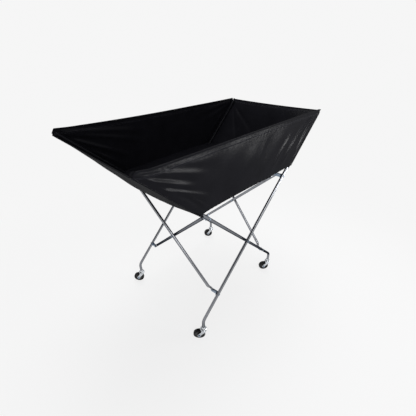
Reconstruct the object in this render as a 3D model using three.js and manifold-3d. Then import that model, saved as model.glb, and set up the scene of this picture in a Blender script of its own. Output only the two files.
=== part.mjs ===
// A folding ball cart: a fabric basket with a wide open mouth, hung on four chromed steel legs.
// The legs cross in pairs along both long sides and crossed struts join the pairs at each end,
// so the frame folds in length and width at once. Each leg stands on a swivel caster.
// Millimetres, +Z up, +X along the cart, the near long side at -Y.

import * as THREE from 'three';
import { mergeVertices } from 'three/addons/utils/BufferGeometryUtils.js';
import Module from 'manifold-3d';

const wasm = await Module();
wasm.setup();

// Frame proportions
const LEG_LEAN = THREE.MathUtils.degToRad(45.3);    // from upright, with the cart open
const FOLD_ANGLE = THREE.MathUtils.degToRad(28);    // how far each leg stands up as the cart folds
const PIN_TO_TOP = 780;                             // along a leg, from the bolt where two legs cross
const PIN_TO_UPPER_HUB = 386;
const PIN_TO_LOWER_HUB = 307;
const PIN_TO_BEND = 459;                            // to the corner where a leg turns upright
const LEG_STUB = 49.14;                             // from that corner down to the leg's end

// Tubes
const LEG_TUBE = 15;
const LEG_WALL = 1.5;
const LEG_BEND_RADIUS = 40;
const LEG_SPACER = 1.5;                             // between two crossed legs
const STRUT_TUBE = 15;
const STRUT_WALL = 1.4;
const STRUT_CROSSING_GAP = 1;
const LUG_THICKNESS = 5;                            // of a strut's flattened end
const LUG_RADIUS = 8.5;
const LUG_LENGTH = 13;                              // flat stretch inside the pin
const LUG_RUNOUT = 20;                              // from flat to round

// Brackets, pins and bolts
const BRACKET_SHEET = 2;
const BRACKET_WIDTH = 18;
const BRACKET_HEIGHT = 20;
const BRACKET_EAR_RADIUS = 8;
const LUG_TO_BASE = 2;
const PIN_RADIUS = 3;
const RIVET_RADIUS = 2.5;
const RIVET_HEAD_RADIUS = 5.5;
const RIVET_HEAD_HEIGHT = 2.2;
const BOLT_RADIUS = 3;
const BOLT_HEAD_RADIUS = 5.6;
const BOLT_HEAD_HEIGHT = 4;
const WASHER_RADIUS = 7;
const STRUT_BOLT_PLAY = 1.1;                        // in the strut that turns on the bolt
const STRUT_NUT_GAP = 0.9;
const FIT_GAP = 0.3;                                // between pieces that touch
const CUT_OVERRUN = 5;

// Casters
const WHEEL_DIAMETER = 63.5;
const WHEEL_WIDTH = 20;
const WHEEL_HUB_RADIUS = 10;
const WHEEL_HUB_WIDTH = 24;
const WHEEL_DISH_RADIUS = 20;
const WHEEL_DISH_DEPTH = 2;
const WHEEL_EDGE = 3;
const CASTER_TRAIL = 22;
const CASTER_TRAIL_TURN = THREE.MathUtils.degToRad(133.1);
const AXLE_RADIUS = 4;
const AXLE_HEAD_RADIUS = 6.5;
const AXLE_HEAD_HEIGHT = 3.5;
const FORK_SHEET = 2.5;
const FORK_ABOVE_WHEEL = 6;
const FORK_TOP_RADIUS = 17;
const FORK_BOSS_RADIUS = 9;
const FORK_SHOULDER = 12;
const RACE_RADIUS = 17;
const RACE_HEIGHT = 11;
const RACE_DOME_RADIUS = 9;
const RACE_DOME_HEIGHT = 6;
const RACE_NECK = 5.2;                              // from the dome to the leg's end
const KING_PIN_RADIUS = 5;
const KING_PIN_HEAD_RADIUS = 8;
const KING_PIN_HEAD_HEIGHT = 3.5;
const STEM_LENGTH = 28;

// Leg tops
const CAP_HEAD = 3;
const CAP_PLUG = 14;
const SLEEVE_CLOTH = 0.9;
const SLEEVE_HEAD = 1.6;

// Basket
const PANEL_CLOTH = 1.8;
const RIM_ABOVE_TOP = 18.35;                        // of the long rims' corners, from the leg tops
const RIM_INSIDE_TOP = 2.4;
const END_RIM_BELOW_TOP = 2.65;                     // of the end rims' corners, from the leg tops
const FLOOR_ABOVE_HUB = 48.5;                       // of the floor's long edges, from the upper hubs
const FLOOR_INSIDE_LEG = 17.4;                      // of their ends, from the legs' middle lines
const LONG_RIM_SAG = 14;
const END_RIM_SAG = 16;
const END_BULGE = 22;
const END_EDGE_DROP = 14;                           // of the end panels below the floor's edge
const CORNER_CUT = 8;                               // of the floor, beside a leg

// Facet counts
const TUBE_SIDES = 12;
const BORE_SIDES = 6;
const HEX_SIDES = 6;
const PIN_SIDES = 8;
const BEND_STEPS = 4;
const WHEEL_SIDES = 24;
const RACE_SIDES = 12;
const PANEL_LONG_STEPS = 12;
const PANEL_SHORT_STEPS = 6;

// Shares of the sizes that they follow, and powers that shape a curve
const FACET_TURN_SHARE = 0.5;                       // of a facet, by which a tube's section is turned
const CORNER_SHARE = 0.8;                           // of the floor's half width, where a corner starts
const END_BULGE_PEAK_SHARE = 0.26;                  // of the end panel's height, where it bulges most
const FLOOR_SAG_POWER = 4;
const LUG_POWER = 0.5;                              // of a strut's section: near 0 is square, 1 is round
const RUNOUT_POWER = 0.8;
const TUBE_POWER = 1;
const FLOOR_ROW_SHARES = [-1, -0.86, -0.7, -0.35, 0, 0.35, 0.7, 0.86, 1];    // of the floor's half width

const NEAR = -1;
const FAR = 1;
const LEFT = -1;
const RIGHT = 1;

const sinLean = Math.sin(LEG_LEAN);
const cosLean = Math.cos(LEG_LEAN);
const legRadius = LEG_TUBE / 2;
const strutRadius = STRUT_TUBE / 2;
const halfWidth = Math.sqrt(PIN_TO_LOWER_HUB * PIN_TO_UPPER_HUB) * sinLean;
const baseFace = halfWidth + LUG_RADIUS + LUG_TO_BASE;
const innerLegY = baseFace + BRACKET_SHEET + FIT_GAP + legRadius;
const outerLegY = innerLegY + LEG_TUBE + LEG_SPACER;
const strutOffset = (STRUT_TUBE + STRUT_CROSSING_GAP) / 2;
const legBore = legRadius - LEG_WALL;
const forkTopHeight = WHEEL_DIAMETER + FORK_ABOVE_WHEEL;
const legFootHeight = forkTopHeight + FIT_GAP + RACE_HEIGHT + RACE_DOME_HEIGHT + RACE_NECK;
const pinHeight = legFootHeight + LEG_STUB + PIN_TO_BEND * cosLean;
const hubHeight = {
  lower: pinHeight - PIN_TO_LOWER_HUB * cosLean,
  upper: pinHeight + PIN_TO_UPPER_HUB * cosLean,
};
const hubX = { lower: PIN_TO_LOWER_HUB * sinLean, upper: PIN_TO_UPPER_HUB * sinLean };
const topHeight = pinHeight + PIN_TO_TOP * cosLean;
const mouthHeight = topHeight + RIM_ABOVE_TOP;
const mouthHalfLength = PIN_TO_TOP * sinLean - RIM_INSIDE_TOP;
const endMouthHeight = topHeight - END_RIM_BELOW_TOP;
const floorHeight = hubHeight.upper + FLOOR_ABOVE_HUB;
const floorHalfLength = (floorHeight - pinHeight) * (sinLean / cosLean) - FLOOR_INSIDE_LEG;

const chrome = { color: 0xc9cbd0, roughness: 0.16, metalness: 1 };
const zinc = { color: 0xa9b0ba, roughness: 0.4, metalness: 1 };
const blackRubber = { color: 0x0c0c0d, roughness: 0.6, metalness: 0 };
const blackPlastic = { color: 0x141415, roughness: 0.5, metalness: 0 };
const blackCloth = { color: 0x131316, roughness: 0.75, metalness: 0 };

// Booleans

function solidOf(geometry) {
  const bare = geometry.clone();
  bare.deleteAttribute('normal');
  bare.deleteAttribute('uv');
  const merged = mergeVertices(bare);
  return new wasm.Manifold(new wasm.Mesh({
    numProp: 3,
    vertProperties: Float32Array.from(merged.attributes.position.array),
    triVerts: Uint32Array.from(merged.index.array),
  }));
}

function geometryOf(solid) {
  const mesh = solid.getMesh();
  const geometry = new THREE.BufferGeometry();
  geometry.setAttribute('position', new THREE.BufferAttribute(mesh.vertProperties, 3));
  geometry.setIndex(new THREE.BufferAttribute(mesh.triVerts, 1));
  geometry.computeVertexNormals();
  return geometry;
}

function unite(geometries) {
  const solids = geometries.map(solidOf);
  return geometryOf(solids.reduce((sum, next) => sum.add(next)));
}

function cut(geometry, tools) {
  const solids = tools.map(solidOf);
  return geometryOf(solids.reduce((rest, tool) => rest.subtract(tool), solidOf(geometry)));
}

// Shapes

const AXES = {
  x: new THREE.Vector3(1, 0, 0),
  y: new THREE.Vector3(0, 1, 0),
  z: new THREE.Vector3(0, 0, 1),
};

function turnTo(direction) {
  return new THREE.Quaternion().setFromUnitVectors(AXES.z, direction.clone().normalize());
}

// A solid of revolution about +Z; its profile is a list of [radius, height] from bottom to top
function turned(profile, sides) {
  const points = profile.map(([radius, height]) => new THREE.Vector2(radius, height));
  return new THREE.LatheGeometry(points, sides).rotateX(Math.PI / 2);
}

function rod(start, direction, length, radius, sides) {
  const profile = [[0, 0], [radius, 0], [radius, length], [0, length]];
  return turned(profile, sides).applyQuaternion(turnTo(direction)).translate(start.x, start.y, start.z);
}

// A hole's facets touch the circle of its radius from outside, so a round pin clears them
function throughHole(centre, direction, halfLength, radius) {
  const start = centre.clone().addScaledVector(direction.clone().normalize(), -halfLength);
  return rod(start, direction, 2 * halfLength, radius / Math.cos(Math.PI / PIN_SIDES), PIN_SIDES);
}

function circleShape(radius, sides) {
  const shape = new THREE.Shape();
  for (let i = 0; i < sides; i += 1) {
    const angle = (2 * Math.PI * (i + FACET_TURN_SHARE)) / sides;
    shape[i ? 'lineTo' : 'moveTo'](radius * Math.cos(angle), radius * Math.sin(angle));
  }
  return shape;
}

// A path through stations of a point and its tangent, one step of the sweep for each stretch
class StationPath extends THREE.Curve {
  constructor(stations) {
    super();
    this.stations = stations;
  }

  between(u, key, target) {
    const place = u * (this.stations.length - 1);
    const index = Math.min(Math.floor(place), this.stations.length - 2);
    const [from, to] = [this.stations[index][key], this.stations[index + 1][key]];
    return target.lerpVectors(from, to, place - index);
  }

  getPoint(t, target = new THREE.Vector3()) {
    return this.between(t, 'point', target);
  }

  getPointAt(u, target) {
    return this.getPoint(u, target);
  }

  getTangentAt(u, target = new THREE.Vector3()) {
    return this.between(u, 'tangent', target).normalize();
  }
}

function sweptTube(stations, radius, bore) {
  const shape = circleShape(radius, TUBE_SIDES);
  shape.holes.push(new THREE.Path(circleShape(bore, TUBE_SIDES).getPoints()));
  const path = new StationPath(stations);
  return new THREE.ExtrudeGeometry(shape, { steps: stations.length - 1, extrudePath: path });
}

// A closed body from rings of points, each ring an array of vectors in the same order
function loft(rings) {
  const size = rings[0].length;
  const points = rings.flat();
  const faces = [];
  for (let r = 0; r + 1 < rings.length; r += 1) {
    for (let i = 0; i < size; i += 1) {
      const [a, b] = [r * size + i, r * size + ((i + 1) % size)];
      faces.push(a, b, a + size, b, b + size, a + size);
    }
  }
  const last = points.length - size;
  for (let i = 1; i + 1 < size; i += 1) {
    faces.push(0, i + 1, i, last, last + i, last + i + 1);
  }
  return bodyOf(points, faces);
}

function bodyOf(points, faces) {
  const geometry = new THREE.BufferGeometry();
  const values = points.flatMap((point) => point.toArray());
  geometry.setAttribute('position', new THREE.Float32BufferAttribute(values, 3));
  geometry.setIndex(faces);
  geometry.computeVertexNormals();
  return geometry;
}

// A sheet with a thickness: surface(u, v) gives its outer face and inward(u, v) the way to its inner one
function sheet(surface, inward, uSteps, vSteps) {
  const row = uSteps + 1;
  const outer = [];
  const inner = [];
  for (let j = 0; j <= vSteps; j += 1) {
    for (let i = 0; i <= uSteps; i += 1) {
      const [u, v] = [i / uSteps, j / vSteps];
      const point = surface(u, v);
      outer.push(point);
      inner.push(point.clone().addScaledVector(inward(u, v), PANEL_CLOTH));
    }
  }
  const shift = outer.length;
  const faces = [];
  for (let j = 0; j < vSteps; j += 1) {
    for (let i = 0; i < uSteps; i += 1) {
      const a = j * row + i;
      faces.push(a, a + 1, a + row, a + 1, a + row + 1, a + row);
      faces.push(shift + a, shift + a + row, shift + a + 1);
      faces.push(shift + a + 1, shift + a + row, shift + a + row + 1);
    }
  }
  const edge = [];
  for (let i = 0; i < uSteps; i += 1) edge.push(i);
  for (let j = 0; j < vSteps; j += 1) edge.push(j * row + uSteps);
  for (let i = uSteps; i > 0; i -= 1) edge.push(vSteps * row + i);
  for (let j = vSteps; j > 0; j -= 1) edge.push(j * row);
  edge.forEach((a, k) => {
    const b = edge[(k + 1) % edge.length];
    faces.push(b, a, shift + a, b, shift + a, shift + b);
  });
  const geometry = bodyOf([...outer, ...inner], faces);
  if (solidVolume(geometry) < 0) geometry.setIndex(flipped(faces)).computeVertexNormals();
  return geometry;
}

function flipped(faces) {
  return faces.map((_, i) => faces[i + [0, 1, -1][i % 3]]);
}

function solidVolume(geometry) {
  const place = geometry.attributes.position;
  const index = geometry.index.array;
  const [a, b, c] = [new THREE.Vector3(), new THREE.Vector3(), new THREE.Vector3()];
  let volume = 0;
  for (let i = 0; i < index.length; i += 3) {
    a.fromBufferAttribute(place, index[i]);
    b.fromBufferAttribute(place, index[i + 1]);
    c.fromBufferAttribute(place, index[i + 2]);
    volume += a.dot(b.cross(c)) / 6;
  }
  return volume;
}

function addPiece(group, name, geometry, finish) {
  const piece = new THREE.Mesh(geometry, new THREE.MeshStandardMaterial(finish));
  piece.name = name;
  group.add(piece);
  return piece;
}

// Legs: the group's origin is the leg's crossing bolt, and lean is 1 where the top is at +X

function alongLeg(lean, distance) {
  return new THREE.Vector3(lean * distance * sinLean, 0, distance * cosLean);
}

function legDirection(lean) {
  return new THREE.Vector3(lean * sinLean, 0, cosLean);
}

function footX(lean) {
  return -lean * PIN_TO_BEND * sinLean;
}

function legStations(lean) {
  const tangentLength = LEG_BEND_RADIUS * Math.tan(LEG_LEAN / 2);
  const bendStart = alongLeg(lean, tangentLength - PIN_TO_BEND);
  const stations = [{ point: alongLeg(lean, PIN_TO_TOP), tangent: legDirection(lean).negate() }];
  for (let i = 0; i <= BEND_STEPS; i += 1) {
    const rest = LEG_LEAN * (1 - i / BEND_STEPS);
    const across = LEG_BEND_RADIUS * (Math.cos(rest) - cosLean);
    const down = LEG_BEND_RADIUS * (sinLean - Math.sin(rest));
    stations.push({
      point: bendStart.clone().add(new THREE.Vector3(-lean * across, 0, -down)),
      tangent: new THREE.Vector3(-lean * Math.sin(rest), 0, -Math.cos(rest)),
    });
  }
  const end = new THREE.Vector3(footX(lean), 0, legFootHeight - pinHeight);
  stations.push({ point: end, tangent: new THREE.Vector3(0, 0, -1) });
  return stations;
}

function legGeometry(lean) {
  const tube = sweptTube(legStations(lean), legRadius, legBore);
  const half = legRadius + CUT_OVERRUN;
  const holes = [
    [0, BOLT_RADIUS],
    [PIN_TO_UPPER_HUB, RIVET_RADIUS],
    [-PIN_TO_LOWER_HUB, RIVET_RADIUS],
  ];
  return cut(tube, holes.map(([distance, radius]) => (
    throughHole(alongLeg(lean, distance), AXES.y, half, radius + FIT_GAP))));
}

function capGeometry(lean) {
  const plug = legBore - FIT_GAP;
  const profile = [
    [0, -CAP_PLUG], [plug, -CAP_PLUG], [plug, FIT_GAP], [legRadius, FIT_GAP],
    [legRadius, CAP_HEAD], [0, CAP_HEAD],
  ];
  const top = alongLeg(lean, PIN_TO_TOP);
  return turned(profile, TUBE_SIDES).applyQuaternion(turnTo(legDirection(lean)))
    .translate(top.x, top.y, top.z);
}

// The pocket of cloth that a leg's upper end is pushed into, closed above its cap
function sleeveGeometry(lean) {
  const start = (floorHeight - pinHeight) / cosLean + LEG_TUBE;
  const bore = legRadius + FIT_GAP;
  const inside = PIN_TO_TOP + CAP_HEAD + FIT_GAP;
  const skin = bore + SLEEVE_CLOTH;
  const profile = [
    [bore, start], [skin, start], [skin, inside + SLEEVE_HEAD], [0, inside + SLEEVE_HEAD],
    [0, inside], [bore, inside], [bore, start],
  ];
  return turned(profile, TUBE_SIDES).applyQuaternion(turnTo(legDirection(lean)));
}

// A button head, a shank and a flush tail, head outwards from the origin along +Z
function rivetGeometry(shank, radius, headRadius, headHeight) {
  return turned([
    [0, -shank], [radius, -shank], [radius, 0], [headRadius, 0], [headRadius / 2, headHeight],
    [0, headHeight],
  ], PIN_SIDES);
}

// A shank along direction with a six-sided head beyond each end; the shank reaches into both heads
function boltGeometry(start, direction, length, radius, headRadius, headHeight) {
  const at = (distance) => start.clone().addScaledVector(direction, distance);
  return unite([
    rod(at(-headHeight / 2), direction, length + headHeight, radius, PIN_SIDES),
    rod(at(-headHeight), direction, headHeight, headRadius, HEX_SIDES),
    rod(at(length), direction, headHeight, headRadius, HEX_SIDES),
  ]);
}

// Bolt, spacer and nut where two legs cross, from the inner leg's inside to the outer leg's outside
function legBoltGeometry(side) {
  const outward = new THREE.Vector3(0, side, 0);
  const at = (distance) => outward.clone().multiplyScalar(distance);
  const nut = -(LEG_TUBE + LEG_SPACER + legRadius + FIT_GAP);
  const grip = legRadius + FIT_GAP - nut;
  return unite([
    boltGeometry(at(nut), outward, grip, BOLT_RADIUS, BOLT_HEAD_RADIUS, BOLT_HEAD_HEIGHT),
    rod(at(-legRadius - LEG_SPACER + FIT_GAP), outward, LEG_SPACER - 2 * FIT_GAP, WASHER_RADIUS,
      TUBE_SIDES),
  ]);
}

// Struts: the group's origin is the lower pin on the tube's axis, its +Z runs up the strut
// and its +X along the pin, towards the side that the lugs are set to

// end is LEFT or RIGHT; rising is the side, NEAR or FAR, that the strut's lower end is on
function strutFrame(end, rising) {
  const offset = -end * rising * strutOffset;
  const lower = new THREE.Vector3(end * hubX.lower + offset, rising * halfWidth, hubHeight.lower);
  const upper = new THREE.Vector3(end * hubX.upper + offset, -rising * halfWidth, hubHeight.upper);
  const along = upper.clone().sub(lower).normalize();
  const pin = new THREE.Vector3(along.y, -along.x, 0).normalize();
  if (pin.x * offset > 0) pin.negate();
  return { lower, upper, along, pin, length: lower.distanceTo(upper) };
}

function strutRing(height, halfThickness, halfBreadth, offset, power) {
  const ring = [];
  for (let i = 0; i < TUBE_SIDES; i += 1) {
    const angle = (2 * Math.PI * (i + FACET_TURN_SHARE)) / TUBE_SIDES;
    const [c, s] = [Math.cos(angle), Math.sin(angle)];
    ring.push(new THREE.Vector3(
      offset + halfThickness * Math.sign(c) * Math.abs(c) ** power,
      halfBreadth * Math.sign(s) * Math.abs(s) ** power,
      height,
    ));
  }
  return ring;
}

// Rings from the pin's outer side to the round tube: height, and shares of the way to the lug's form
const LUG_TIP_SHARES = [[1, 0.45], [0.72, 0.8], [0.3, 1]];

function lugRings() {
  const half = LUG_THICKNESS / 2;
  const rings = LUG_TIP_SHARES.map(([reachShare, breadthShare]) => (
    [-LUG_RADIUS * reachShare, half, LUG_RADIUS * breadthShare, strutOffset, LUG_POWER]));
  rings.push([LUG_LENGTH, half, LUG_RADIUS, strutOffset, LUG_POWER]);
  rings.push([LUG_LENGTH + LUG_RUNOUT / 2, (half + strutRadius) / 2, (LUG_RADIUS + strutRadius) / 2,
    strutOffset / 2, RUNOUT_POWER]);
  rings.push([LUG_LENGTH + LUG_RUNOUT, strutRadius, strutRadius, 0, TUBE_POWER]);
  return rings;
}

// The bolt at a strut crossing lies along +X half way through the fold
function crossingDirection(frame) {
  const turn = new THREE.Vector3().crossVectors(frame.along, AXES.z).normalize();
  return AXES.x.clone().applyAxisAngle(turn, -FOLD_ANGLE / 2);
}

function strutMatrix(frame) {
  const across = new THREE.Vector3().crossVectors(frame.along, frame.pin);
  return new THREE.Matrix4().makeBasis(frame.pin, across, frame.along).setPosition(frame.lower);
}

function strutGeometry(frame, boltPlay) {
  const ends = lugRings();
  const far = ends.map(([height, ...form]) => [frame.length - height, ...form]).reverse();
  const body = loft([...ends, ...far].map((ring) => strutRing(...ring)));
  const half = strutOffset + STRUT_TUBE;
  const middle = new THREE.Vector3(0, 0, frame.length / 2);
  const toLocal = new THREE.Matrix3().setFromMatrix4(strutMatrix(frame)).transpose();
  const crossing = crossingDirection(frame).applyMatrix3(toLocal);
  const boreStart = LUG_LENGTH + LUG_RUNOUT;
  return cut(body, [
    throughHole(new THREE.Vector3(), AXES.x, half, PIN_RADIUS + FIT_GAP),
    throughHole(new THREE.Vector3(0, 0, frame.length), AXES.x, half, PIN_RADIUS + FIT_GAP),
    rod(new THREE.Vector3(0, 0, boreStart), AXES.z, frame.length - 2 * boreStart,
      strutRadius - STRUT_WALL, BORE_SIDES),
    throughHole(middle, crossing, half, BOLT_RADIUS + FIT_GAP + boltPlay),
  ]);
}

// The crossing bolt, in the frame of the strut that carries it; towards is the other strut's side
function strutBoltGeometry(frame, towards) {
  const toLocal = new THREE.Matrix3().setFromMatrix4(strutMatrix(frame)).transpose();
  const way = crossingDirection(frame).multiplyScalar(towards).applyMatrix3(toLocal).normalize();
  const middle = new THREE.Vector3(0, 0, frame.length / 2);
  const back = strutRadius + STRUT_NUT_GAP;
  const front = 2 * strutOffset + strutRadius + STRUT_NUT_GAP;
  return boltGeometry(middle.addScaledVector(way, -back), way, back + front, BOLT_RADIUS,
    BOLT_HEAD_RADIUS, BOLT_HEAD_HEIGHT);
}

// Brackets: the group's origin is where the pin crosses the strut's axis line

function earShape(reach) {
  const shape = new THREE.Shape();
  shape.moveTo(reach, -BRACKET_EAR_RADIUS);
  shape.lineTo(reach, BRACKET_EAR_RADIUS);
  shape.lineTo(0, BRACKET_EAR_RADIUS);
  shape.absarc(0, 0, BRACKET_EAR_RADIUS, Math.PI / 2, (3 * Math.PI) / 2, false);
  shape.closePath();
  return shape;
}

// Two ears on the pin, as plates square to it, reaching towards the leg
function earGeometries(frame, side, reach) {
  const outward = new THREE.Vector3(-frame.pin.y, frame.pin.x, 0);
  if (outward.y * side < 0) outward.negate();
  const square = new THREE.Vector3().crossVectors(outward, AXES.z);
  const basis = new THREE.Matrix4().makeBasis(outward, AXES.z, square);
  const lug = strutOffset * square.dot(frame.pin);
  const gap = LUG_THICKNESS / 2 + FIT_GAP;
  const depth = BRACKET_SHEET;
  return [lug + gap, lug - gap - depth].map((start) => (
    new THREE.ExtrudeGeometry(earShape(reach), { depth, bevelEnabled: false, curveSegments: BORE_SIDES })
      .translate(0, 0, start).applyMatrix4(basis)));
}

// A clevis folded from sheet, with the rivet that turns in its leg
function bracketGeometry(frame, side, legY) {
  const far = legY - halfWidth - legRadius - FIT_GAP;
  const reach = far + CUT_OVERRUN;
  const hub = Math.sign(frame.pin.x) * strutOffset;
  const plate = new THREE.BoxGeometry(BRACKET_WIDTH, BRACKET_SHEET, BRACKET_HEIGHT)
    .translate(hub, side * (far - BRACKET_SHEET / 2), 0);
  const beyond = new THREE.BoxGeometry(2 * BRACKET_WIDTH, 2 * reach, 2 * BRACKET_HEIGHT)
    .translate(hub, side * (far + reach), 0);
  const ears = earGeometries(frame, side, reach).map((ear) => cut(ear, [beyond]));
  const half = strutOffset + BRACKET_WIDTH;
  const headSeat = far + LEG_TUBE + 2 * FIT_GAP;
  const rivet = rivetGeometry(headSeat - far + BRACKET_SHEET / 2, RIVET_RADIUS, RIVET_HEAD_RADIUS,
    RIVET_HEAD_HEIGHT)
    .applyQuaternion(turnTo(new THREE.Vector3(0, side, 0)))
    .translate(hub, side * headSeat, 0);
  const pinHole = throughHole(new THREE.Vector3(), frame.pin, half, PIN_RADIUS + FIT_GAP);
  return unite([cut(unite([plate, ...ears]), [pinHole]), rivet]);
}

// The pin through a strut's end and the ears, with a head on both sides
function bracketPinGeometry(frame) {
  const seat = LUG_THICKNESS / 2 + FIT_GAP + BRACKET_SHEET + FIT_GAP;
  const top = seat + RIVET_HEAD_HEIGHT;
  const profile = [
    [0, -top], [RIVET_HEAD_RADIUS, -seat], [PIN_RADIUS, -seat],
    [PIN_RADIUS, seat], [RIVET_HEAD_RADIUS, seat], [0, top],
  ];
  const centre = frame.pin.clone().multiplyScalar(strutOffset);
  return turned(profile, PIN_SIDES).applyQuaternion(turnTo(frame.pin))
    .translate(centre.x, centre.y, centre.z);
}

// Casters: the group's origin is on the swivel axis at the floor, and its +X is the trail

const axleHeight = (WHEEL_DIAMETER / 2) * Math.cos(Math.PI / WHEEL_SIDES);
const forkGap = WHEEL_HUB_WIDTH / 2 + FIT_GAP;

function casterMountGeometry() {
  const raceFoot = forkTopHeight + FIT_GAP;
  const domeFoot = raceFoot + RACE_HEIGHT;
  const pinFoot = forkTopHeight - FORK_SHEET - FIT_GAP;
  const shoulder = legFootHeight - FIT_GAP;
  const stem = legBore - FIT_GAP;
  return turned([
    [0, pinFoot - KING_PIN_HEAD_HEIGHT],
    [KING_PIN_HEAD_RADIUS, pinFoot - KING_PIN_HEAD_HEIGHT],
    [KING_PIN_HEAD_RADIUS, pinFoot],
    [KING_PIN_RADIUS, pinFoot],
    [KING_PIN_RADIUS, raceFoot],
    [RACE_RADIUS, raceFoot],
    [RACE_RADIUS, domeFoot],
    [RACE_DOME_RADIUS, domeFoot + RACE_DOME_HEIGHT],
    [legRadius, shoulder],
    [stem, shoulder],
    [stem, legFootHeight + STEM_LENGTH],
    [0, legFootHeight + STEM_LENGTH],
  ], RACE_SIDES);
}

function forkSideShape() {
  const shape = new THREE.Shape();
  shape.moveTo(-FORK_SHOULDER, forkTopHeight);
  shape.lineTo(CASTER_TRAIL - FORK_BOSS_RADIUS, axleHeight);
  shape.absarc(CASTER_TRAIL, axleHeight, FORK_BOSS_RADIUS, Math.PI, 2 * Math.PI, false);
  shape.lineTo(FORK_SHOULDER + FORK_SHEET, forkTopHeight);
  shape.closePath();
  return shape;
}

function forkGeometry() {
  const side = (start) => new THREE.ExtrudeGeometry(forkSideShape(), { depth: FORK_SHEET,
    bevelEnabled: false, curveSegments: BORE_SIDES })
    .translate(0, 0, start).rotateX(Math.PI / 2);
  const plateFoot = new THREE.Vector3(0, 0, forkTopHeight - FORK_SHEET);
  const plate = rod(plateFoot, AXES.z, FORK_SHEET, FORK_TOP_RADIUS, RACE_SIDES);
  const axle = new THREE.Vector3(CASTER_TRAIL, 0, axleHeight);
  return cut(unite([plate, side(forkGap), side(-forkGap - FORK_SHEET)]), [
    throughHole(plateFoot, AXES.z, FORK_SHEET + CUT_OVERRUN, KING_PIN_RADIUS + FIT_GAP),
    throughHole(axle, AXES.y, forkGap + FORK_SHEET + CUT_OVERRUN, AXLE_RADIUS + FIT_GAP),
  ]);
}

// The wheel lies on a flat of its rim, so it is turned by half a facet
function wheelGeometry() {
  const radius = WHEEL_DIAMETER / 2;
  const half = WHEEL_WIDTH / 2;
  const bore = AXLE_RADIUS + FIT_GAP;
  const hub = WHEEL_HUB_WIDTH / 2;
  const profile = [
    [bore, -hub], [WHEEL_HUB_RADIUS, -hub], [WHEEL_DISH_RADIUS, WHEEL_DISH_DEPTH - half],
    [radius - WHEEL_EDGE, -half], [radius, WHEEL_EDGE - half], [radius, half - WHEEL_EDGE],
    [radius - WHEEL_EDGE, half], [WHEEL_DISH_RADIUS, half - WHEEL_DISH_DEPTH], [WHEEL_HUB_RADIUS, hub],
    [bore, hub], [bore, -hub],
  ];
  return turned(profile, WHEEL_SIDES).rotateZ(Math.PI / WHEEL_SIDES).rotateX(Math.PI / 2)
    .translate(CASTER_TRAIL, 0, axleHeight);
}

function axleGeometry() {
  const seat = forkGap + FORK_SHEET + FIT_GAP;
  const start = new THREE.Vector3(CASTER_TRAIL, -seat, axleHeight);
  return boltGeometry(start, AXES.y, 2 * seat, AXLE_RADIUS, AXLE_HEAD_RADIUS, AXLE_HEAD_HEIGHT);
}

// Basket: long panels outside the legs, end panels that bulge, and a floor that sags

const sleeveRadius = legRadius + FIT_GAP + SLEEVE_CLOTH;
const panelAtOuterLeg = outerLegY + sleeveRadius + FIT_GAP;
const panelAtInnerLeg = innerLegY + sleeveRadius + FIT_GAP;
const endClearance = sleeveRadius + FIT_GAP + PANEL_CLOTH;

function mix(from, to, share) {
  return from + (to - from) * share;
}

// Distance from the middle plane to a long panel's inner face, which swings from one leg to the other
function panelDepth(x) {
  const share = THREE.MathUtils.smoothstep(x, -floorHalfLength, floorHalfLength);
  return mix(panelAtInnerLeg, panelAtOuterLeg, share);
}

function arch(share) {
  return 1 - (2 * share - 1) ** 2;
}

function longPanel(side) {
  const surface = (u, v) => {
    const half = mix(floorHalfLength, mouthHalfLength, v) + sleeveRadius;
    const x = mix(-half, half, u);
    const top = mouthHeight - LONG_RIM_SAG * arch(Math.sqrt(u));
    return new THREE.Vector3(x, side * (panelDepth(x) + PANEL_CLOTH), mix(floorHeight, top, v));
  };
  return sheet(surface, () => new THREE.Vector3(0, -side, 0), PANEL_LONG_STEPS, PANEL_SHORT_STEPS / 2);
}

// How far an end panel stands out at a share of its height, in the middle of its width
function bulge(share) {
  const rise = share / END_BULGE_PEAK_SHARE;
  const fall = (share - END_BULGE_PEAK_SHARE) / (1 - END_BULGE_PEAK_SHARE);
  return END_BULGE * (share < END_BULGE_PEAK_SHARE ? arch(rise / 2) : (1 + Math.cos(Math.PI * fall)) / 2);
}

function endPanel(end) {
  const reach = panelDepth(end * mouthHalfLength) - FIT_GAP;
  const outward = new THREE.Vector3(end * cosLean, 0, -sinLean);
  const surface = (u, v) => {
    const low = floorHeight - END_EDGE_DROP;
    const top = endMouthHeight - END_RIM_SAG * arch(u) + endClearance * sinLean;
    const height = mix(low, top, v);
    const leg = new THREE.Vector3(end * (height - pinHeight) * (sinLean / cosLean), 0, height);
    const point = leg.addScaledVector(outward, endClearance + bulge(v) * arch(u));
    return point.setY(mix(-reach, reach, u));
  };
  return sheet(surface, () => outward.clone().negate(), PANEL_SHORT_STEPS + 2, PANEL_SHORT_STEPS + 2);
}

// The floor reaches the end panels' lower edges, and is cut back at its corners, where the legs pass
function basketFloor() {
  const rows = FLOOR_ROW_SHARES.length - 1;
  const lowest = END_EDGE_DROP + endClearance * sinLean;
  const endReach = (floorHeight - END_EDGE_DROP - pinHeight) * (sinLean / cosLean)
    + (endClearance - PANEL_CLOTH) * cosLean - FIT_GAP;
  const cornerReach = endReach - CORNER_CUT;
  const surface = (u, v) => {
    const share = FLOOR_ROW_SHARES[Math.round(v * rows)];
    const half = Math.abs(share) > CORNER_SHARE ? cornerReach : endReach;
    const x = mix(-half, half, u);
    const reach = panelDepth(x) - FIT_GAP;
    return new THREE.Vector3(x, share * reach, floorHeight - lowest * (1 - share ** FLOOR_SAG_POWER));
  };
  return sheet(surface, () => AXES.z.clone(), PANEL_SHORT_STEPS, rows);
}

// Assembly

const cart = new THREE.Group();

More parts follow.
